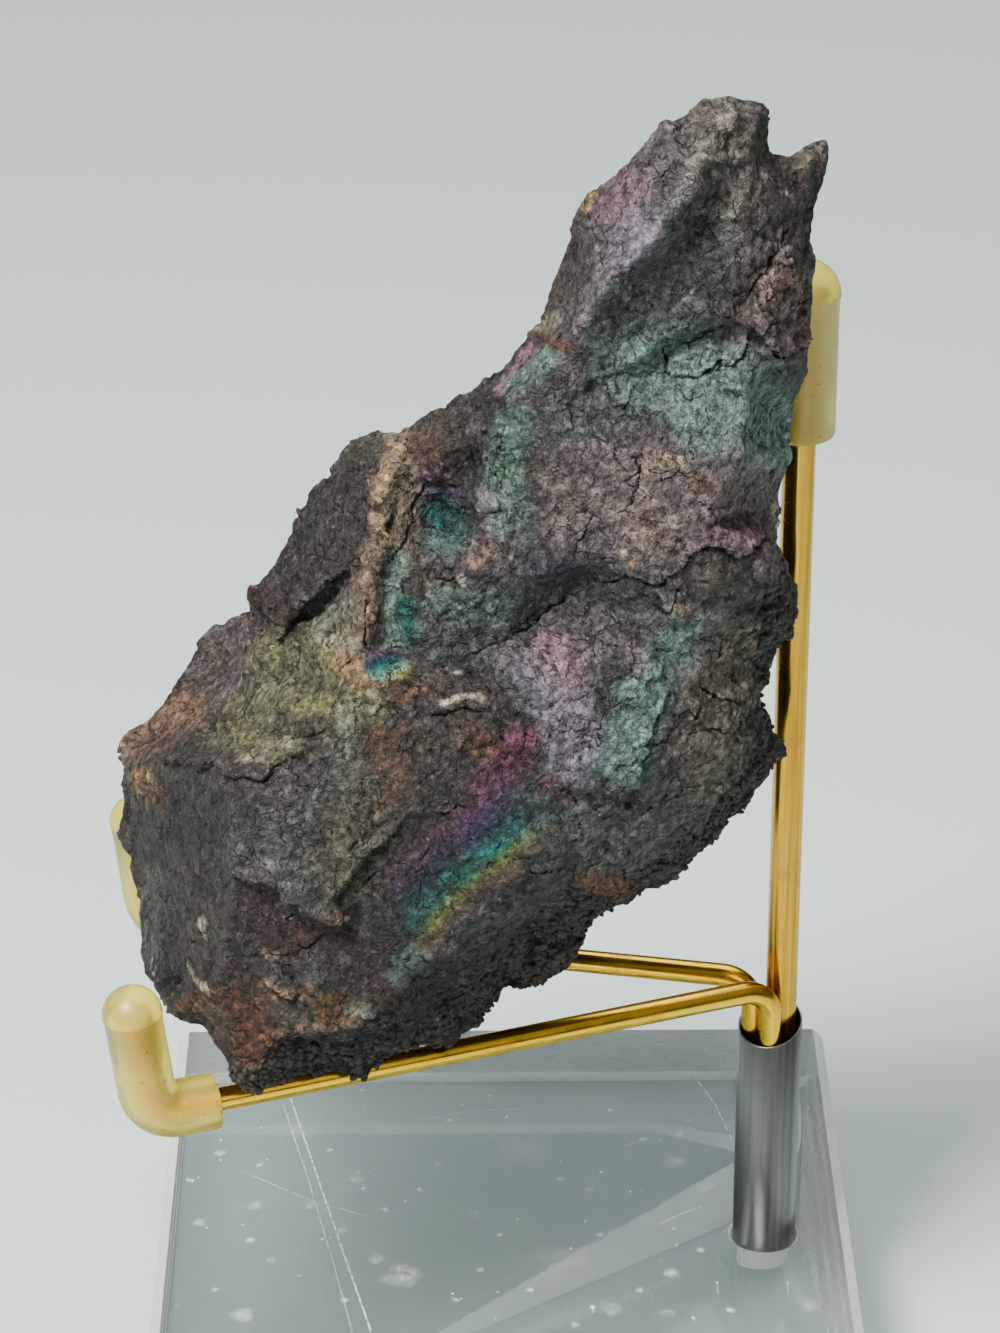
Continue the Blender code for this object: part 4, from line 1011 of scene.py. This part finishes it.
# Its colours: mineral, earth and film.
CHARCOAL, BROWN, DARK_BROWN = (0.038, 0.032, 0.028), (0.070, 0.050, 0.039), (0.040, 0.030, 0.024)
BLACK, SLATE, GREY = (0.009, 0.008, 0.008), (0.086, 0.098, 0.102), (0.170, 0.160, 0.145)
WARM_GREY = (0.175, 0.148, 0.122)
RUST, MAROON, ORANGE = (0.20, 0.080, 0.037), (0.064, 0.021, 0.015), (0.25, 0.105, 0.034)
OCHRE, TAN, CREAM = (0.95, 0.58, 0.22), (0.46, 0.33, 0.21), (0.64, 0.55, 0.39)
YELLOW_GREEN, OLIVE, GREY_GREEN = (0.190, 0.185, 0.090), (0.085, 0.080, 0.046), (0.23, 0.245, 0.175)
LAVENDER, LILAC, PINK = (0.178, 0.140, 0.170), (0.33, 0.270, 0.335), (0.52, 0.27, 0.31)
PINK_BROWN, SEA, TEAL = (0.240, 0.170, 0.160), (0.270, 0.405, 0.375), (0.016, 0.080, 0.075)
INDIGO = (0.038, 0.036, 0.100)
PURPLE, MAGENTA, MINT = (0.110, 0.038, 0.120), (0.17, 0.030, 0.085), (0.260, 0.430, 0.330)
DEEP_TEAL, TURQUOISE = (0.010, 0.070, 0.120), (0.012, 0.190, 0.170)
GREEN, YELLOW, FLESH = (0.06, 0.25, 0.10), (0.36, 0.36, 0.09), (0.33, 0.195, 0.130)
PEACH = (0.48, 0.26, 0.13)
# Colour, strength, radius in pixels, and the line it is laid along, broad patches first.
STAINS = [
    (WARM_GREY, 0.85, 46, [(715, 125), (722, 165)]), (WARM_GREY, 0.8, 36, [(765, 170), (745, 240)]),
    (GREY, 0.5, 30, [(690, 165), (640, 250), (590, 320)]), (BROWN, 0.8, 30, [(800, 160), (805, 285)]),
    (WARM_GREY, 0.5, 16, [(795, 165), (822, 150)]),
    (SLATE, 0.85, 60, [(690, 250), (640, 330), (580, 400)]),
    (PINK_BROWN, 0.8, 34, [(780, 270), (790, 340)]), (FLESH, 0.35, 24, [(778, 278), (790, 330)]),
    (PINK_BROWN, 0.6, 20, [(760, 330), (735, 335)]),
    (SEA, 0.66, 62, [(660, 370), (740, 400), (780, 450)]), (SEA, 0.5, 40, [(700, 440), (770, 445)]),
    (SLATE, 0.5, 24, [(560, 420), (620, 440)]),
    (PINK_BROWN, 0.8, 70, [(610, 500), (700, 500), (770, 530)]),
    (PINK_BROWN, 0.6, 46, [(580, 530), (660, 560)]),
    # Partly painted shade: the slate, indigo and charcoal along the valley under the broad face are its
    # dark colour and its shade together.
    (SLATE, 0.75, 46, [(500, 600), (560, 590), (640, 600)]),
    (INDIGO, 0.35, 40, [(520, 590), (590, 560)]),
    (CHARCOAL, 0.75, 36, [(490, 615), (560, 595), (630, 592)]),
    (CHARCOAL, 0.9, 70, [(330, 480), (290, 560), (270, 620)]),
    (OLIVE, 0.5, 26, [(350, 445), (395, 445)]), (MAROON, 0.45, 26, [(260, 600), (290, 620)]),
    (TAN, 0.26, 26, [(408, 444), (404, 500), (398, 545)]),
    (TAN, 0.36, 14, [(397, 446), (384, 500), (380, 550)]), (FLESH, 0.55, 16, [(372, 560), (356, 640)]),
    (BROWN, 0.7, 30, [(455, 420), (440, 460)]), (MAROON, 0.7, 22, [(420, 450), (440, 468)]),
    # Painted shade: the black laid from (455, 460) to (470, 470) below darkens the pit there.
    (PURPLE, 0.55, 15, [(428, 482), (450, 486)]), (BLACK, 0.6, 16, [(455, 460), (470, 470)]),
    (TEAL, 0.8, 20, [(432, 502), (442, 532)]), (TURQUOISE, 0.3, 17, [(436, 512), (464, 536)]),
    (INDIGO, 0.6, 9, [(428, 493), (450, 494)]), (BLACK, 0.4, 9, [(466, 498), (472, 516)]),
    (SEA, 0.35, 18, [(425, 545), (450, 548)]), (GREY, 0.6, 18, [(488, 500), (492, 516)]),
    (PINK_BROWN, 0.6, 22, [(480, 545), (500, 560)]),
    (MINT, 0.6, 17, [(390, 558), (390, 600), (396, 640)]), (TEAL, 0.8, 14, [(408, 602), (413, 642)]),
    (TURQUOISE, 0.3, 10, [(408, 604), (412, 642)]), (MINT, 0.33, 24, [(440, 605), (495, 612)]),
    (SLATE, 0.7, 26, [(440, 640), (500, 640)]), (LILAC, 0.75, 40, [(545, 668), (562, 712), (582, 752)]),
    (LAVENDER, 0.6, 40, [(520, 660), (590, 640)]),
    (SEA, 0.75, 34, [(690, 640), (655, 680), (632, 730), (620, 766)]),
    (WARM_GREY, 0.85, 48, [(735, 640), (715, 720), (700, 780)]),
    (TAN, 0.22, 42, [(735, 650), (705, 780)]), (MINT, 0.4, 20, [(645, 690), (624, 745)]),
    (CHARCOAL, 0.7, 16, [(776, 600), (774, 690), (778, 780)]),
    (BROWN, 0.7, 40, [(470, 720), (430, 740), (390, 760)]),
    (DARK_BROWN, 0.7, 60, [(400, 830), (420, 900), (400, 960)]),
    (MAGENTA, 0.55, 26, [(522, 738), (505, 766), (486, 788)]),
    (MAGENTA, 0.55, 15, [(552, 786), (598, 814)]), (PURPLE, 0.5, 20, [(505, 792), (468, 832)]),
    (RUST, 0.5, 19, [(480, 744), (490, 750)]), (PINK, 0.5, 22, [(552, 648), (566, 672)]),
    (SLATE, 0.8, 52, [(560, 830), (650, 830)]), (GREY, 0.7, 32, [(600, 850), (680, 820)]),
    (SLATE, 0.6, 34, [(470, 940), (560, 900)]), (BROWN, 0.6, 30, [(540, 960), (580, 930)]),
    (BLACK, 0.75, 34, [(520, 975), (590, 930)]), (BLACK, 0.75, 28, [(300, 1060), (400, 1050)]),
    (YELLOW_GREEN, 0.85, 34, [(270, 665), (330, 640), (352, 700)]),
    (YELLOW_GREEN, 0.75, 34, [(250, 710), (310, 705)]),
    (YELLOW_GREEN, 0.5, 20, [(220, 740), (290, 750)]), (GREY_GREEN, 0.7, 20, [(320, 612), (340, 606)]),
    (YELLOW, 0.2, 9, [(298, 706), (326, 700)]), (CREAM, 0.3, 7, [(245, 758), (268, 748), (288, 735)]),
    (CREAM, 0.45, 9, [(320, 636), (355, 647)]), (PEACH, 0.7, 15, [(342, 664), (362, 682)]),
    (OLIVE, 0.6, 14, [(305, 668), (325, 680)]), (DARK_BROWN, 0.7, 13, [(280, 727), (325, 727)]),
    (GREY_GREEN, 0.6, 12, [(332, 757), (348, 722)]), (PURPLE, 0.2, 16, [(236, 630), (236, 680)]),
    (PINK_BROWN, 0.45, 30, [(230, 640), (205, 690)]), (BROWN, 0.7, 24, [(210, 650), (195, 700)]),
    (ORANGE, 0.3, 26, [(175, 705), (155, 738)]), (FLESH, 0.6, 22, [(185, 710), (140, 745)]),
    (OCHRE, 0.85, 15, [(146, 780), (153, 800)]), (ORANGE, 0.4, 9, [(140, 785), (160, 808)]),
    (CHARCOAL, 0.85, 60, [(180, 790), (170, 880), (175, 960)]),
    (BLACK, 0.35, 46, [(185, 830), (175, 940)]),
    (CHARCOAL, 0.75, 30, [(240, 815), (236, 900), (240, 980)]),
    (GREY, 0.4, 18, [(150, 880), (148, 950)]), (BROWN, 0.5, 24, [(180, 860), (195, 950)]),
    (RUST, 0.5, 16, [(190, 1000), (214, 995)]), (GREY, 0.26, 40, [(290, 800), (275, 860)]),
    (OLIVE, 0.75, 40, [(355, 800), (340, 880)]), (OLIVE, 0.5, 24, [(310, 845), (350, 872)]),
    (DARK_BROWN, 0.35, 16, [(330, 800), (312, 850)]), (RUST, 0.35, 26, [(385, 745), (395, 795)]),
    (PURPLE, 0.12, 16, [(292, 770), (315, 775)]), (MAROON, 0.75, 24, [(262, 905), (280, 940)]),
    (MAROON, 0.7, 20, [(305, 930), (330, 930)]), (MAROON, 0.8, 36, [(240, 1000), (255, 1050)]),
    (RUST, 0.5, 22, [(250, 1010), (262, 1050)]),
    (FLESH, 0.75, 9, [(268, 988), (290, 1000), (312, 995)]),
    (ORANGE, 0.55, 15, [(325, 1012), (348, 1010)]), (GREY_GREEN, 0.7, 11, [(352, 1008), (366, 1004)]),
    (FLESH, 0.5, 7, [(288, 1028), (348, 1028)]), (MAROON, 0.6, 14, [(385, 965), (380, 998)]),
    (SEA, 0.35, 16, [(398, 978), (418, 956)]),
    (LAVENDER, 0.85, 28, [(650, 165), (625, 200), (605, 225)]),
    (PINK, 0.4, 20, [(630, 185), (610, 210)]), (LILAC, 0.75, 26, [(640, 232), (608, 262)]),
    (LAVENDER, 0.5, 26, [(600, 270), (570, 320)]), (LAVENDER, 0.6, 14, [(650, 138), (680, 122)]),
    (OCHRE, 0.4, 7, [(592, 188), (584, 208)]), (BROWN, 0.6, 16, [(578, 228), (590, 258)]),
    (CREAM, 0.3, 9, [(542, 328), (556, 315)]), (GREY_GREEN, 0.5, 14, [(706, 205), (722, 212)]),
    (GREY, 0.5, 16, [(635, 290), (695, 305)]), (BROWN, 0.55, 8, [(700, 222), (728, 255)]),
    (BROWN, 0.5, 8, [(702, 272), (722, 292)]), (PINK, 0.9, 6, [(530, 347), (508, 378), (500, 390)]),
    (MAGENTA, 0.6, 3, [(522, 360), (506, 382)]), (MINT, 0.55, 17, [(515, 385), (548, 360)]),
    (MAROON, 0.6, 11, [(545, 338), (575, 350)]), (RUST, 0.4, 7, [(548, 340), (566, 346)]),
    (PINK_BROWN, 0.5, 13, [(562, 364), (578, 380)]), (BLACK, 0.6, 20, [(485, 400), (518, 430)]),
    (MINT, 0.38, 27, [(514, 430), (503, 475), (514, 520)]), (GREEN, 0.25, 16, [(508, 445), (506, 475)]),
    (SEA, 0.6, 10, [(648, 350), (655, 352)]), (SEA, 0.3, 22, [(705, 442), (770, 440)]),
    (BROWN, 0.6, 13, [(648, 424), (662, 432)]), (BLACK, 0.5, 8, [(702, 460), (736, 464)]),
    (FLESH, 0.4, 16, [(645, 512), (655, 535)]), (PINK, 0.45, 20, [(722, 522), (755, 540)]),
    (TAN, 0.6, 8, [(652, 461), (678, 462)]), (RUST, 0.65, 10, [(697, 484), (710, 493)]),
    (CREAM, 0.7, 4, [(622, 550)]), (RUST, 0.7, 6, [(635, 560)]),
    (OLIVE, 0.5, 18, [(705, 572), (735, 580)]), (SLATE, 0.6, 14, [(745, 575), (758, 592)]),
    (PINK, 0.5, 9, [(768, 570), (782, 574)]), (CREAM, 0.6, 5, [(778, 505), (782, 535), (790, 552)]),
    (TEAL, 0.5, 10, [(402, 608), (410, 612)]), (CREAM, 0.5, 3, [(465, 580)]),
    (FLESH, 0.7, 7, [(494, 550), (478, 564)]), (LILAC, 0.5, 18, [(590, 730), (580, 755)]),
    (SLATE, 0.6, 13, [(505, 678), (538, 700)]), (PINK_BROWN, 0.6, 12, [(632, 650), (635, 672)]),
    (LAVENDER, 0.5, 10, [(642, 618), (658, 622)]), (TAN, 0.6, 9, [(676, 610), (686, 617)]),
    (TEAL, 0.4, 9, [(624, 705), (638, 706)]), (RUST, 0.6, 6, [(617, 790), (624, 790)]),
    (BROWN, 0.6, 12, [(750, 608), (768, 612)]), (TAN, 0.5, 6, [(747, 650), (753, 652)]),
    (MAROON, 0.6, 6, [(746, 787), (752, 793)]), (FLESH, 0.5, 5, [(702, 830), (710, 810)]),
    (RUST, 0.7, 19, [(590, 880), (622, 886)]), (FLESH, 0.4, 9, [(600, 872), (622, 880)]),
    (OCHRE, 0.6, 4, [(442, 974)]), (OCHRE, 0.2, 8, [(394, 450), (382, 488)]),
    (OCHRE, 0.18, 6, [(378, 505), (384, 540)]), (TAN, 0.5, 7, [(440, 1022)]),
    (RUST, 0.42, 9, [(375, 688), (428, 690)]), (PURPLE, 0.7, 5, [(368, 657), (396, 651)]),
    (CREAM, 1.0, 3.0, [(446, 707), (460, 701), (482, 703)]), (CREAM, 0.8, 3, [(457, 670)]),
    (CREAM, 0.6, 2.4, [(206, 920), (210, 934)]), (CREAM, 0.6, 2.4, [(154, 962), (157, 974)]),
    (FLESH, 0.6, 5, [(147, 984), (150, 994)]), (BLACK, 0.7, 10, [(168, 980), (174, 994)]),
    (CREAM, 0.5, 2.4, [(188, 962), (200, 974)]), (CREAM, 0.6, 3, [(204, 980), (215, 992)]),
    (FLESH, 0.5, 8, [(200, 1000), (214, 1010)]), (CREAM, 0.7, 3, [(292, 815)]),
    (CREAM, 0.7, 3, [(268, 866)]), (CREAM, 0.7, 4, [(332, 922), (341, 921)]),
    (TAN, 0.5, 5, [(262, 952), (270, 952)]), (BLACK, 0.7, 4, [(143, 800), (150, 818)]),
    (CREAM, 0.7, 3, [(680, 169)]), (CREAM, 0.7, 3, [(600, 243)]),
    (CREAM, 0.5, 3, [(786, 192), (794, 198)]), (CREAM, 0.5, 7, [(724, 120), (730, 114)]),
    (CREAM, 0.4, 6, [(697, 160), (704, 154)]),
]
# The rainbow on the film: its colours in order across a line, each with its distance from the line
# in pixels and its strength.
RAINBOW_LINE = [(405, 935), (424, 905), (446, 884), (474, 862), (499, 840), (524, 820), (556, 806)]
RAINBOW = [(-70, MAROON, 0.0), (-50, MAGENTA, 0.30), (-36, PURPLE, 0.50), (-24, INDIGO, 0.66),
           (-14, DEEP_TEAL, 0.80), (-5, TURQUOISE, 0.76), (4, TURQUOISE, 0.72), (11, GREEN, 0.78),
           (18, YELLOW, 0.55), (28, FLESH, 0.50), (44, PINK_BROWN, 0.0)]
STONE_DEPTH = 0.53


def laid_on(tint, colour, amount):
    """The tint, covered by the colour as far as the amount says."""
    return tint + (np.array(colour) - tint) * amount[:, None]


count = len(points)
broad, middling, small = (grains(points, size, seed, 2) for size, seed in ((14, 41), (6, 42), (2, 43)))
tint = np.tile(CHARCOAL, (count, 1)).astype(float)
whole, finest = np.ones(count), grains(points, 0.8, 47, 2)
tint = laid_on(tint, BROWN, 0.8 * eased(broad + 0.4 * middling, -0.1, 0.5))
tint = laid_on(tint, SLATE, 0.7 * eased(-broad + 0.4 * small, 0.1, 0.6))
away = 1 - seen
other, third = grains(points, 11, 44, 3), grains(points, 17, 45, 3)
for colour, field, low, strength in ((SEA, other, 0.25, 0.45), (LAVENDER, -other, 0.3, 0.5),
                                     (RUST, third, 0.3, 0.55), (OCHRE, third, 0.55, 0.22),
                                     (YELLOW_GREEN, -third, 0.45, 0.5), (BLACK, middling, 0.4, 0.5)):
    tint = laid_on(tint, colour, strength * away * eased(field + 0.15 * small, low, low + 0.2))
drift = pixels + 7 * np.stack([middling, grains(points, 6, 46, 2)], 1) + 3 * wander
film = 0.25 * eased(other, 0.2, 0.5)
FILM_COLOURS = (SEA, TEAL, TURQUOISE, INDIGO, PURPLE, MAGENTA, MINT, GREEN, LAVENDER, LILAC, PINK)
for colour, strength, radius, line in STAINS:
    xs, ys = [spot[0] for spot in line], [spot[1] for spot in line]
    reach = radius * 1.4
    inside = np.nonzero((drift[:, 0] > min(xs) - reach) & (drift[:, 0] < max(xs) + reach)
                        & (drift[:, 1] > min(ys) - reach) & (drift[:, 1] < max(ys) + reach)
                        & (seen > 0))[0]
    distance, _ = from_line(drift[inside], line)
    if colour in FILM_COLOURS:
        cover = eased(1.25 - distance / radius + 0.15 * small[inside], 0.0, 1.1)
    else:
        cover = eased(1.2 - distance / radius + 0.3 * small[inside] + 0.4 * finest[inside], 0.0, 0.8)
    cover = cover * strength * seen[inside]
    tint[inside] = laid_on(tint[inside], colour, cover)
    film[inside] += (float(colour in FILM_COLOURS) - film[inside]) * cover
distance, side = from_line(pixels + 2.5 * wander, RAINBOW_LINE)
across = distance * side
start, end = np.array(RAINBOW_LINE[0]), np.array(RAINBOW_LINE[-1])
onward = (pixels - start) @ (end - start) / np.linalg.norm(end - start)
extent = np.linalg.norm(end - start)
lasting = eased(onward, -14, 34) * (1 - eased(onward, extent - 66, extent + 6)) * seen
for channel in range(3):
    band = np.interp(across, [step[0] for step in RAINBOW], [step[1][channel] for step in RAINBOW])
    cover = np.interp(across, [step[0] for step in RAINBOW], [step[2] for step in RAINBOW], 0, 0)
    patchy = 0.72 + 0.45 * small
    tint[:, channel] += (band - tint[:, channel]) * np.clip(cover * lasting * patchy, 0, 1)
film = np.maximum(film, cover * lasting)
PATCH, PATCH_SIZE = np.array((387, 668)), np.array((25, 13))
in_patch = (pixels + 2 * wander - PATCH) / PATCH_SIZE
inner = eased(1.15 - np.linalg.norm(in_patch, axis=1), 0.0, 0.35) * seen
slide = in_patch @ (0.8, 0.6)
for channel in range(3):
    ramp = [colour[channel] for colour in (INDIGO, DEEP_TEAL, TURQUOISE, MINT, YELLOW)]
    band = np.interp(slide, (-0.9, -0.6, -0.2, 0.35, 0.9), ramp)
    tint[:, channel] += (band - tint[:, channel]) * inner * 0.92
film = np.maximum(film, inner)

# Painted shade and highlight: low places, cracks and the low side of each ledge are darkened, and sharp
# edges are paler, partly wear and partly painted highlight.
data = blank.data
edges = np.empty(len(data.edges) * 2, dtype=np.int64)
data.edges.foreach_get("vertices", edges)
edges = edges.reshape(-1, 2)
_, normals = points_and_normals(data)


def spread_out(values, rounds):
    """Each point's value averaged with its neighbours', this many times."""
    links = np.bincount(edges.ravel(), minlength=count)
    for _ in range(rounds):
        total = np.bincount(edges[:, 0], values[edges[:, 1]], count)
        total += np.bincount(edges[:, 1], values[edges[:, 0]], count)
        values = 0.5 * values + 0.5 * total / links
    return values


averaged = np.stack([spread_out(points[:, axis], 6) for axis in range(3)], 1)
raised = np.einsum("ij,ij->i", points - averaged, normals) / MM
worn_and_lit_edge = np.maximum(eased(raised, 0.04, 0.22), 0.6 * worn)
low_place_shade = eased(-raised, 0.03, 0.25)
tint = STONE_DEPTH * tint * (1 + 0.5 * worn_and_lit_edge - 0.65 * low_place_shade)[:, None]
# Painted shade: the cracks and the feet of the ledges are darkened towards black.
tint = laid_on(tint, BLACK, 0.85 * hollow_shade)
film = film * (1 - 0.8 * hollow_shade) * (1 - 0.5 * low_place_shade)
painted = data.attributes.new("tint", "FLOAT_COLOR", "POINT")
painted.data.foreach_set("color", np.column_stack([tint, whole]).astype(np.float32).ravel())
stored = data.attributes.new("film", "FLOAT", "POINT")
stored.data.foreach_set("value", film.astype(np.float32))

limonite, tree, surface = finish("limonite", Specular_IOR_Level=0.3)
where = place_of(tree)
tinted = node(tree, "ShaderNodeAttribute", attribute_name="tint").outputs["Color"]
filmed = node(tree, "ShaderNodeAttribute", attribute_name="film").outputs["Fac"]
sandy = speckle(tree, where, 0.7, detail=3.0, rough=0.7)
lumpy = speckle(tree, where, 2.0, detail=6.0, rough=0.7)
patchy = speckle(tree, where, 7.0, detail=5.0, rough=0.6)


def folds(size, width):
    """Thin winding lines where noise of this size crosses its middle, 1 on the line."""
    wave = speckle(tree, where, size, detail=3.0, rough=0.65, twist=0.4)
    apart = figured(tree, "ABSOLUTE", figured(tree, "SUBTRACT", wave, 0.5))
    return ranged(tree, apart, 0.0, width, 1.0, 0.0)


def pushed(scale, detail, reach):
    """The place, moved about by noise of this scale."""
    noise = node(tree, "ShaderNodeTexNoise", {"Vector": where, "Scale": scale, "Detail": detail})
    push = scaled(tree, noise.outputs["Color"], reach)
    return node(tree, "ShaderNodeVectorMath", {0: where, 1: push}, operation="ADD").outputs[0]


creases = figured(tree, "MAXIMUM", folds(1.1, 0.024), folds(3.1, 0.011))
shifted = pushed(900.0, 2.0, 0.0009)
seated = node(tree, "ShaderNodeTexVoronoi", {"Vector": shifted, "Scale": 1250.0, "Randomness": 1.0})
grain_tone = node(tree, "ShaderNodeSeparateColor", {0: seated.outputs["Color"]}).outputs[0]
grain_top = ranged(tree, seated.outputs["Distance"], 0.15, 0.75, 1.0, 0.0)
uneven = ranged(tree, filmed, 0.0, 1.0, 0.75, 0.40)
gritty = blended(tree, uneven, (1, 1, 1, 1), ranged(tree, grain_tone, 0.0, 1.0, 0.45, 1.75))
# Painted shade: each grain darkens towards its rim, in the gaps between grains.
gritty = blended(tree, 1.0, gritty, ranged(tree, grain_top, 0.0, 0.45, 0.62, 1.08), "MULTIPLY")
shaded = blended(tree, 1.0, tinted, ranged(tree, lumpy, 0.32, 0.68, 0.60, 1.55), "MULTIPLY")
shaded = blended(tree, 1.0, shaded, gritty, "MULTIPLY")
# Painted shade: darker along the creases.
shaded = blended(tree, 1.0, shaded, ranged(tree, creases, 0.0, 1.0, 1.0, 0.60), "MULTIPLY")
shaded = blended(tree, ranged(tree, sandy, 0.58, 0.72, 0.0, 0.30), shaded, (0.26, 0.24, 0.22, 1))
shaded = blended(tree, ranged(tree, sandy, 0.44, 0.30, 0.0, 0.70), shaded, (0.02, 0.018, 0.017, 1))
bent = pushed(260.0, 3.0, 0.0045)
net = node(tree, "ShaderNodeTexVoronoi", {"Vector": bent, "Scale": 150.0},
           feature="DISTANCE_TO_EDGE").outputs["Distance"]
hairline = ranged(tree, net, 0.0, 0.022, 0.8, 0.0)
some = ranged(tree, patchy, 0.55, 0.62, 0.0, 1.0)
hairline = figured(tree, "MULTIPLY", hairline, some)
fine_net = node(tree, "ShaderNodeTexVoronoi", {"Vector": bent, "Scale": 330.0},
                feature="DISTANCE_TO_EDGE").outputs["Distance"]
broken_up = ranged(tree, speckle(tree, where, 2.6, detail=2.0), 0.50, 0.54, 0.0, 1.0)
split = figured(tree, "MULTIPLY", ranged(tree, fine_net, 0.0, 0.045, 0.85, 0.0), broken_up)
hairline = figured(tree, "MAXIMUM", hairline, split)
# Painted shade: the hairline cracks are darkened almost to black.
shaded = blended(tree, hairline, shaded, (0.018, 0.016, 0.015, 1))
tree.links.new(shaded, surface.inputs["Base Color"])
tree.links.new(ranged(tree, filmed, 0.0, 1.0, 0.0, 0.35), surface.inputs["Metallic"])
dull = ranged(tree, filmed, 0.0, 1.0, 0.66, 0.48)
tree.links.new(dull, surface.inputs["Roughness"])
coarse = bumped(tree, figured(tree, "SUBTRACT", lumpy, hairline), 1.0)
coarse = bumped(tree, creases, -0.2, under=coarse)
coarse = bumped(tree, grain_top, 0.16, under=coarse)
tree.links.new(bumped(tree, sandy, 0.5, under=coarse), surface.inputs["Normal"])

data.materials.clear()
data.materials.append(limonite)
data.shade_smooth()
blank.name = "limonite_stone"
data.name = "limonite_stone"
with_stand(blank, "stone", "limonite")

# Crust: black iron oxide grown as small knobs, fast to the stone along its lower and right edges.
# Each knob is sunk to about half in the skin, and none grows where a wire or sleeve would meet it.
CRUST_LINES = [
    (20, [(778, 600), (774, 680), (780, 760), (742, 800), (705, 850), (650, 880)]),
    (32, [(598, 915), (560, 945), (520, 975), (480, 1000), (440, 1035)]),
    (24, [(405, 1050), (340, 1066), (285, 1066), (250, 1080)]),
]
KNOBS_PER_M2, KNOB_RADIUS, KNOB_SEED = 1700000, 0.60 * MM, 5
SMALLEST_KNOB, LARGEST_KNOB, KNOB_CORNERS = (0.4, 0.4, 0.4), (1.35, 1.2, 1.2), 12
crusted = np.zeros(count)
for radius, line in CRUST_LINES:
    distance, _ = from_line(pixels + 5 * wander, line)
    crusted = np.maximum(crusted, eased(1 - distance / radius, -0.1, 0.5) * seen)
crusted = np.maximum(crusted, 0.7 * away * eased(middling + 0.3 * broad, 0.45, 0.75))
crusted *= eased(small + 0.4, 0.0, 0.5)
knob_bed = linked_object("knob_bed", data.copy())
stored = knob_bed.data.attributes.new("crust", "FLOAT", "POINT")
stored.data.foreach_set("value", crusted.astype(np.float32))

crust, tree, surface = finish("black crust", Specular_IOR_Level=0.35)
where = place_of(tree)
sandy = speckle(tree, where, 0.4, detail=4.0, rough=0.7)
clouded = speckle(tree, where, 3.5, detail=3.0)
dark = blended(tree, ranged(tree, clouded, 0.42, 0.66, 0, 1), (0.014, 0.013, 0.013, 1),
               (0.050, 0.034, 0.024, 1))
tree.links.new(blended(tree, ranged(tree, sandy, 0.58, 0.75, 0, 0.5), dark, (0.10, 0.09, 0.08, 1)),
               surface.inputs["Base Color"])
tree.links.new(ranged(tree, sandy, 0.3, 0.7, 0.5, 0.8), surface.inputs["Roughness"])
tree.links.new(bumped(tree, sandy, 0.12), surface.inputs["Normal"])

growing, growing_keys, given = geometry_tree("growing", Density=KNOBS_PER_M2, Radius=KNOB_RADIUS)
where_thick = node(growing, "GeometryNodeInputNamedAttribute", {"Name": "crust"}).outputs[0]
crowded = figured(growing, "MULTIPLY", where_thick, given["Density"])
sized = random_vector(growing, SMALLEST_KNOB, LARGEST_KNOB, KNOB_SEED + 1)
seated = strewn(growing, given["Geometry"], crowded, given["Radius"], (6.28, 6.28, 6.28), sized,
                KNOB_SEED)
made_real = node(growing, "GeometryNodeRealizeInstances", {"Geometry": seated}).outputs[0]
rounded = node(growing, "GeometryNodeSetShadeSmooth", {"Geometry": made_real})
ended(growing, rounded.outputs[0], crust)
knobs = grown(knob_bed, "crust_knobs", growing, growing_keys)


def meets_stand(corner):
    """Whether a knob's corner lies in a wire or sleeve, or nearer to it than the clearance."""
    for skin in stand_skins:
        spot, out, _, away = skin.find_nearest(corner)
        if away < STAND_CLEARANCE or (corner - spot).dot(out) < 0:
            return True
    return False


kept = bmesh.new()
kept.from_mesh(knobs.data)
kept.verts.ensure_lookup_table()
meeting = {corner.index // KNOB_CORNERS for corner in kept.verts if meets_stand(corner.co)}
unwanted = [corner for corner in kept.verts if corner.index // KNOB_CORNERS in meeting]
bmesh.ops.delete(kept, geom=unwanted, context="VERTS")
kept.to_mesh(knobs.data)
kept.free()
with_stand(knobs, "stone")
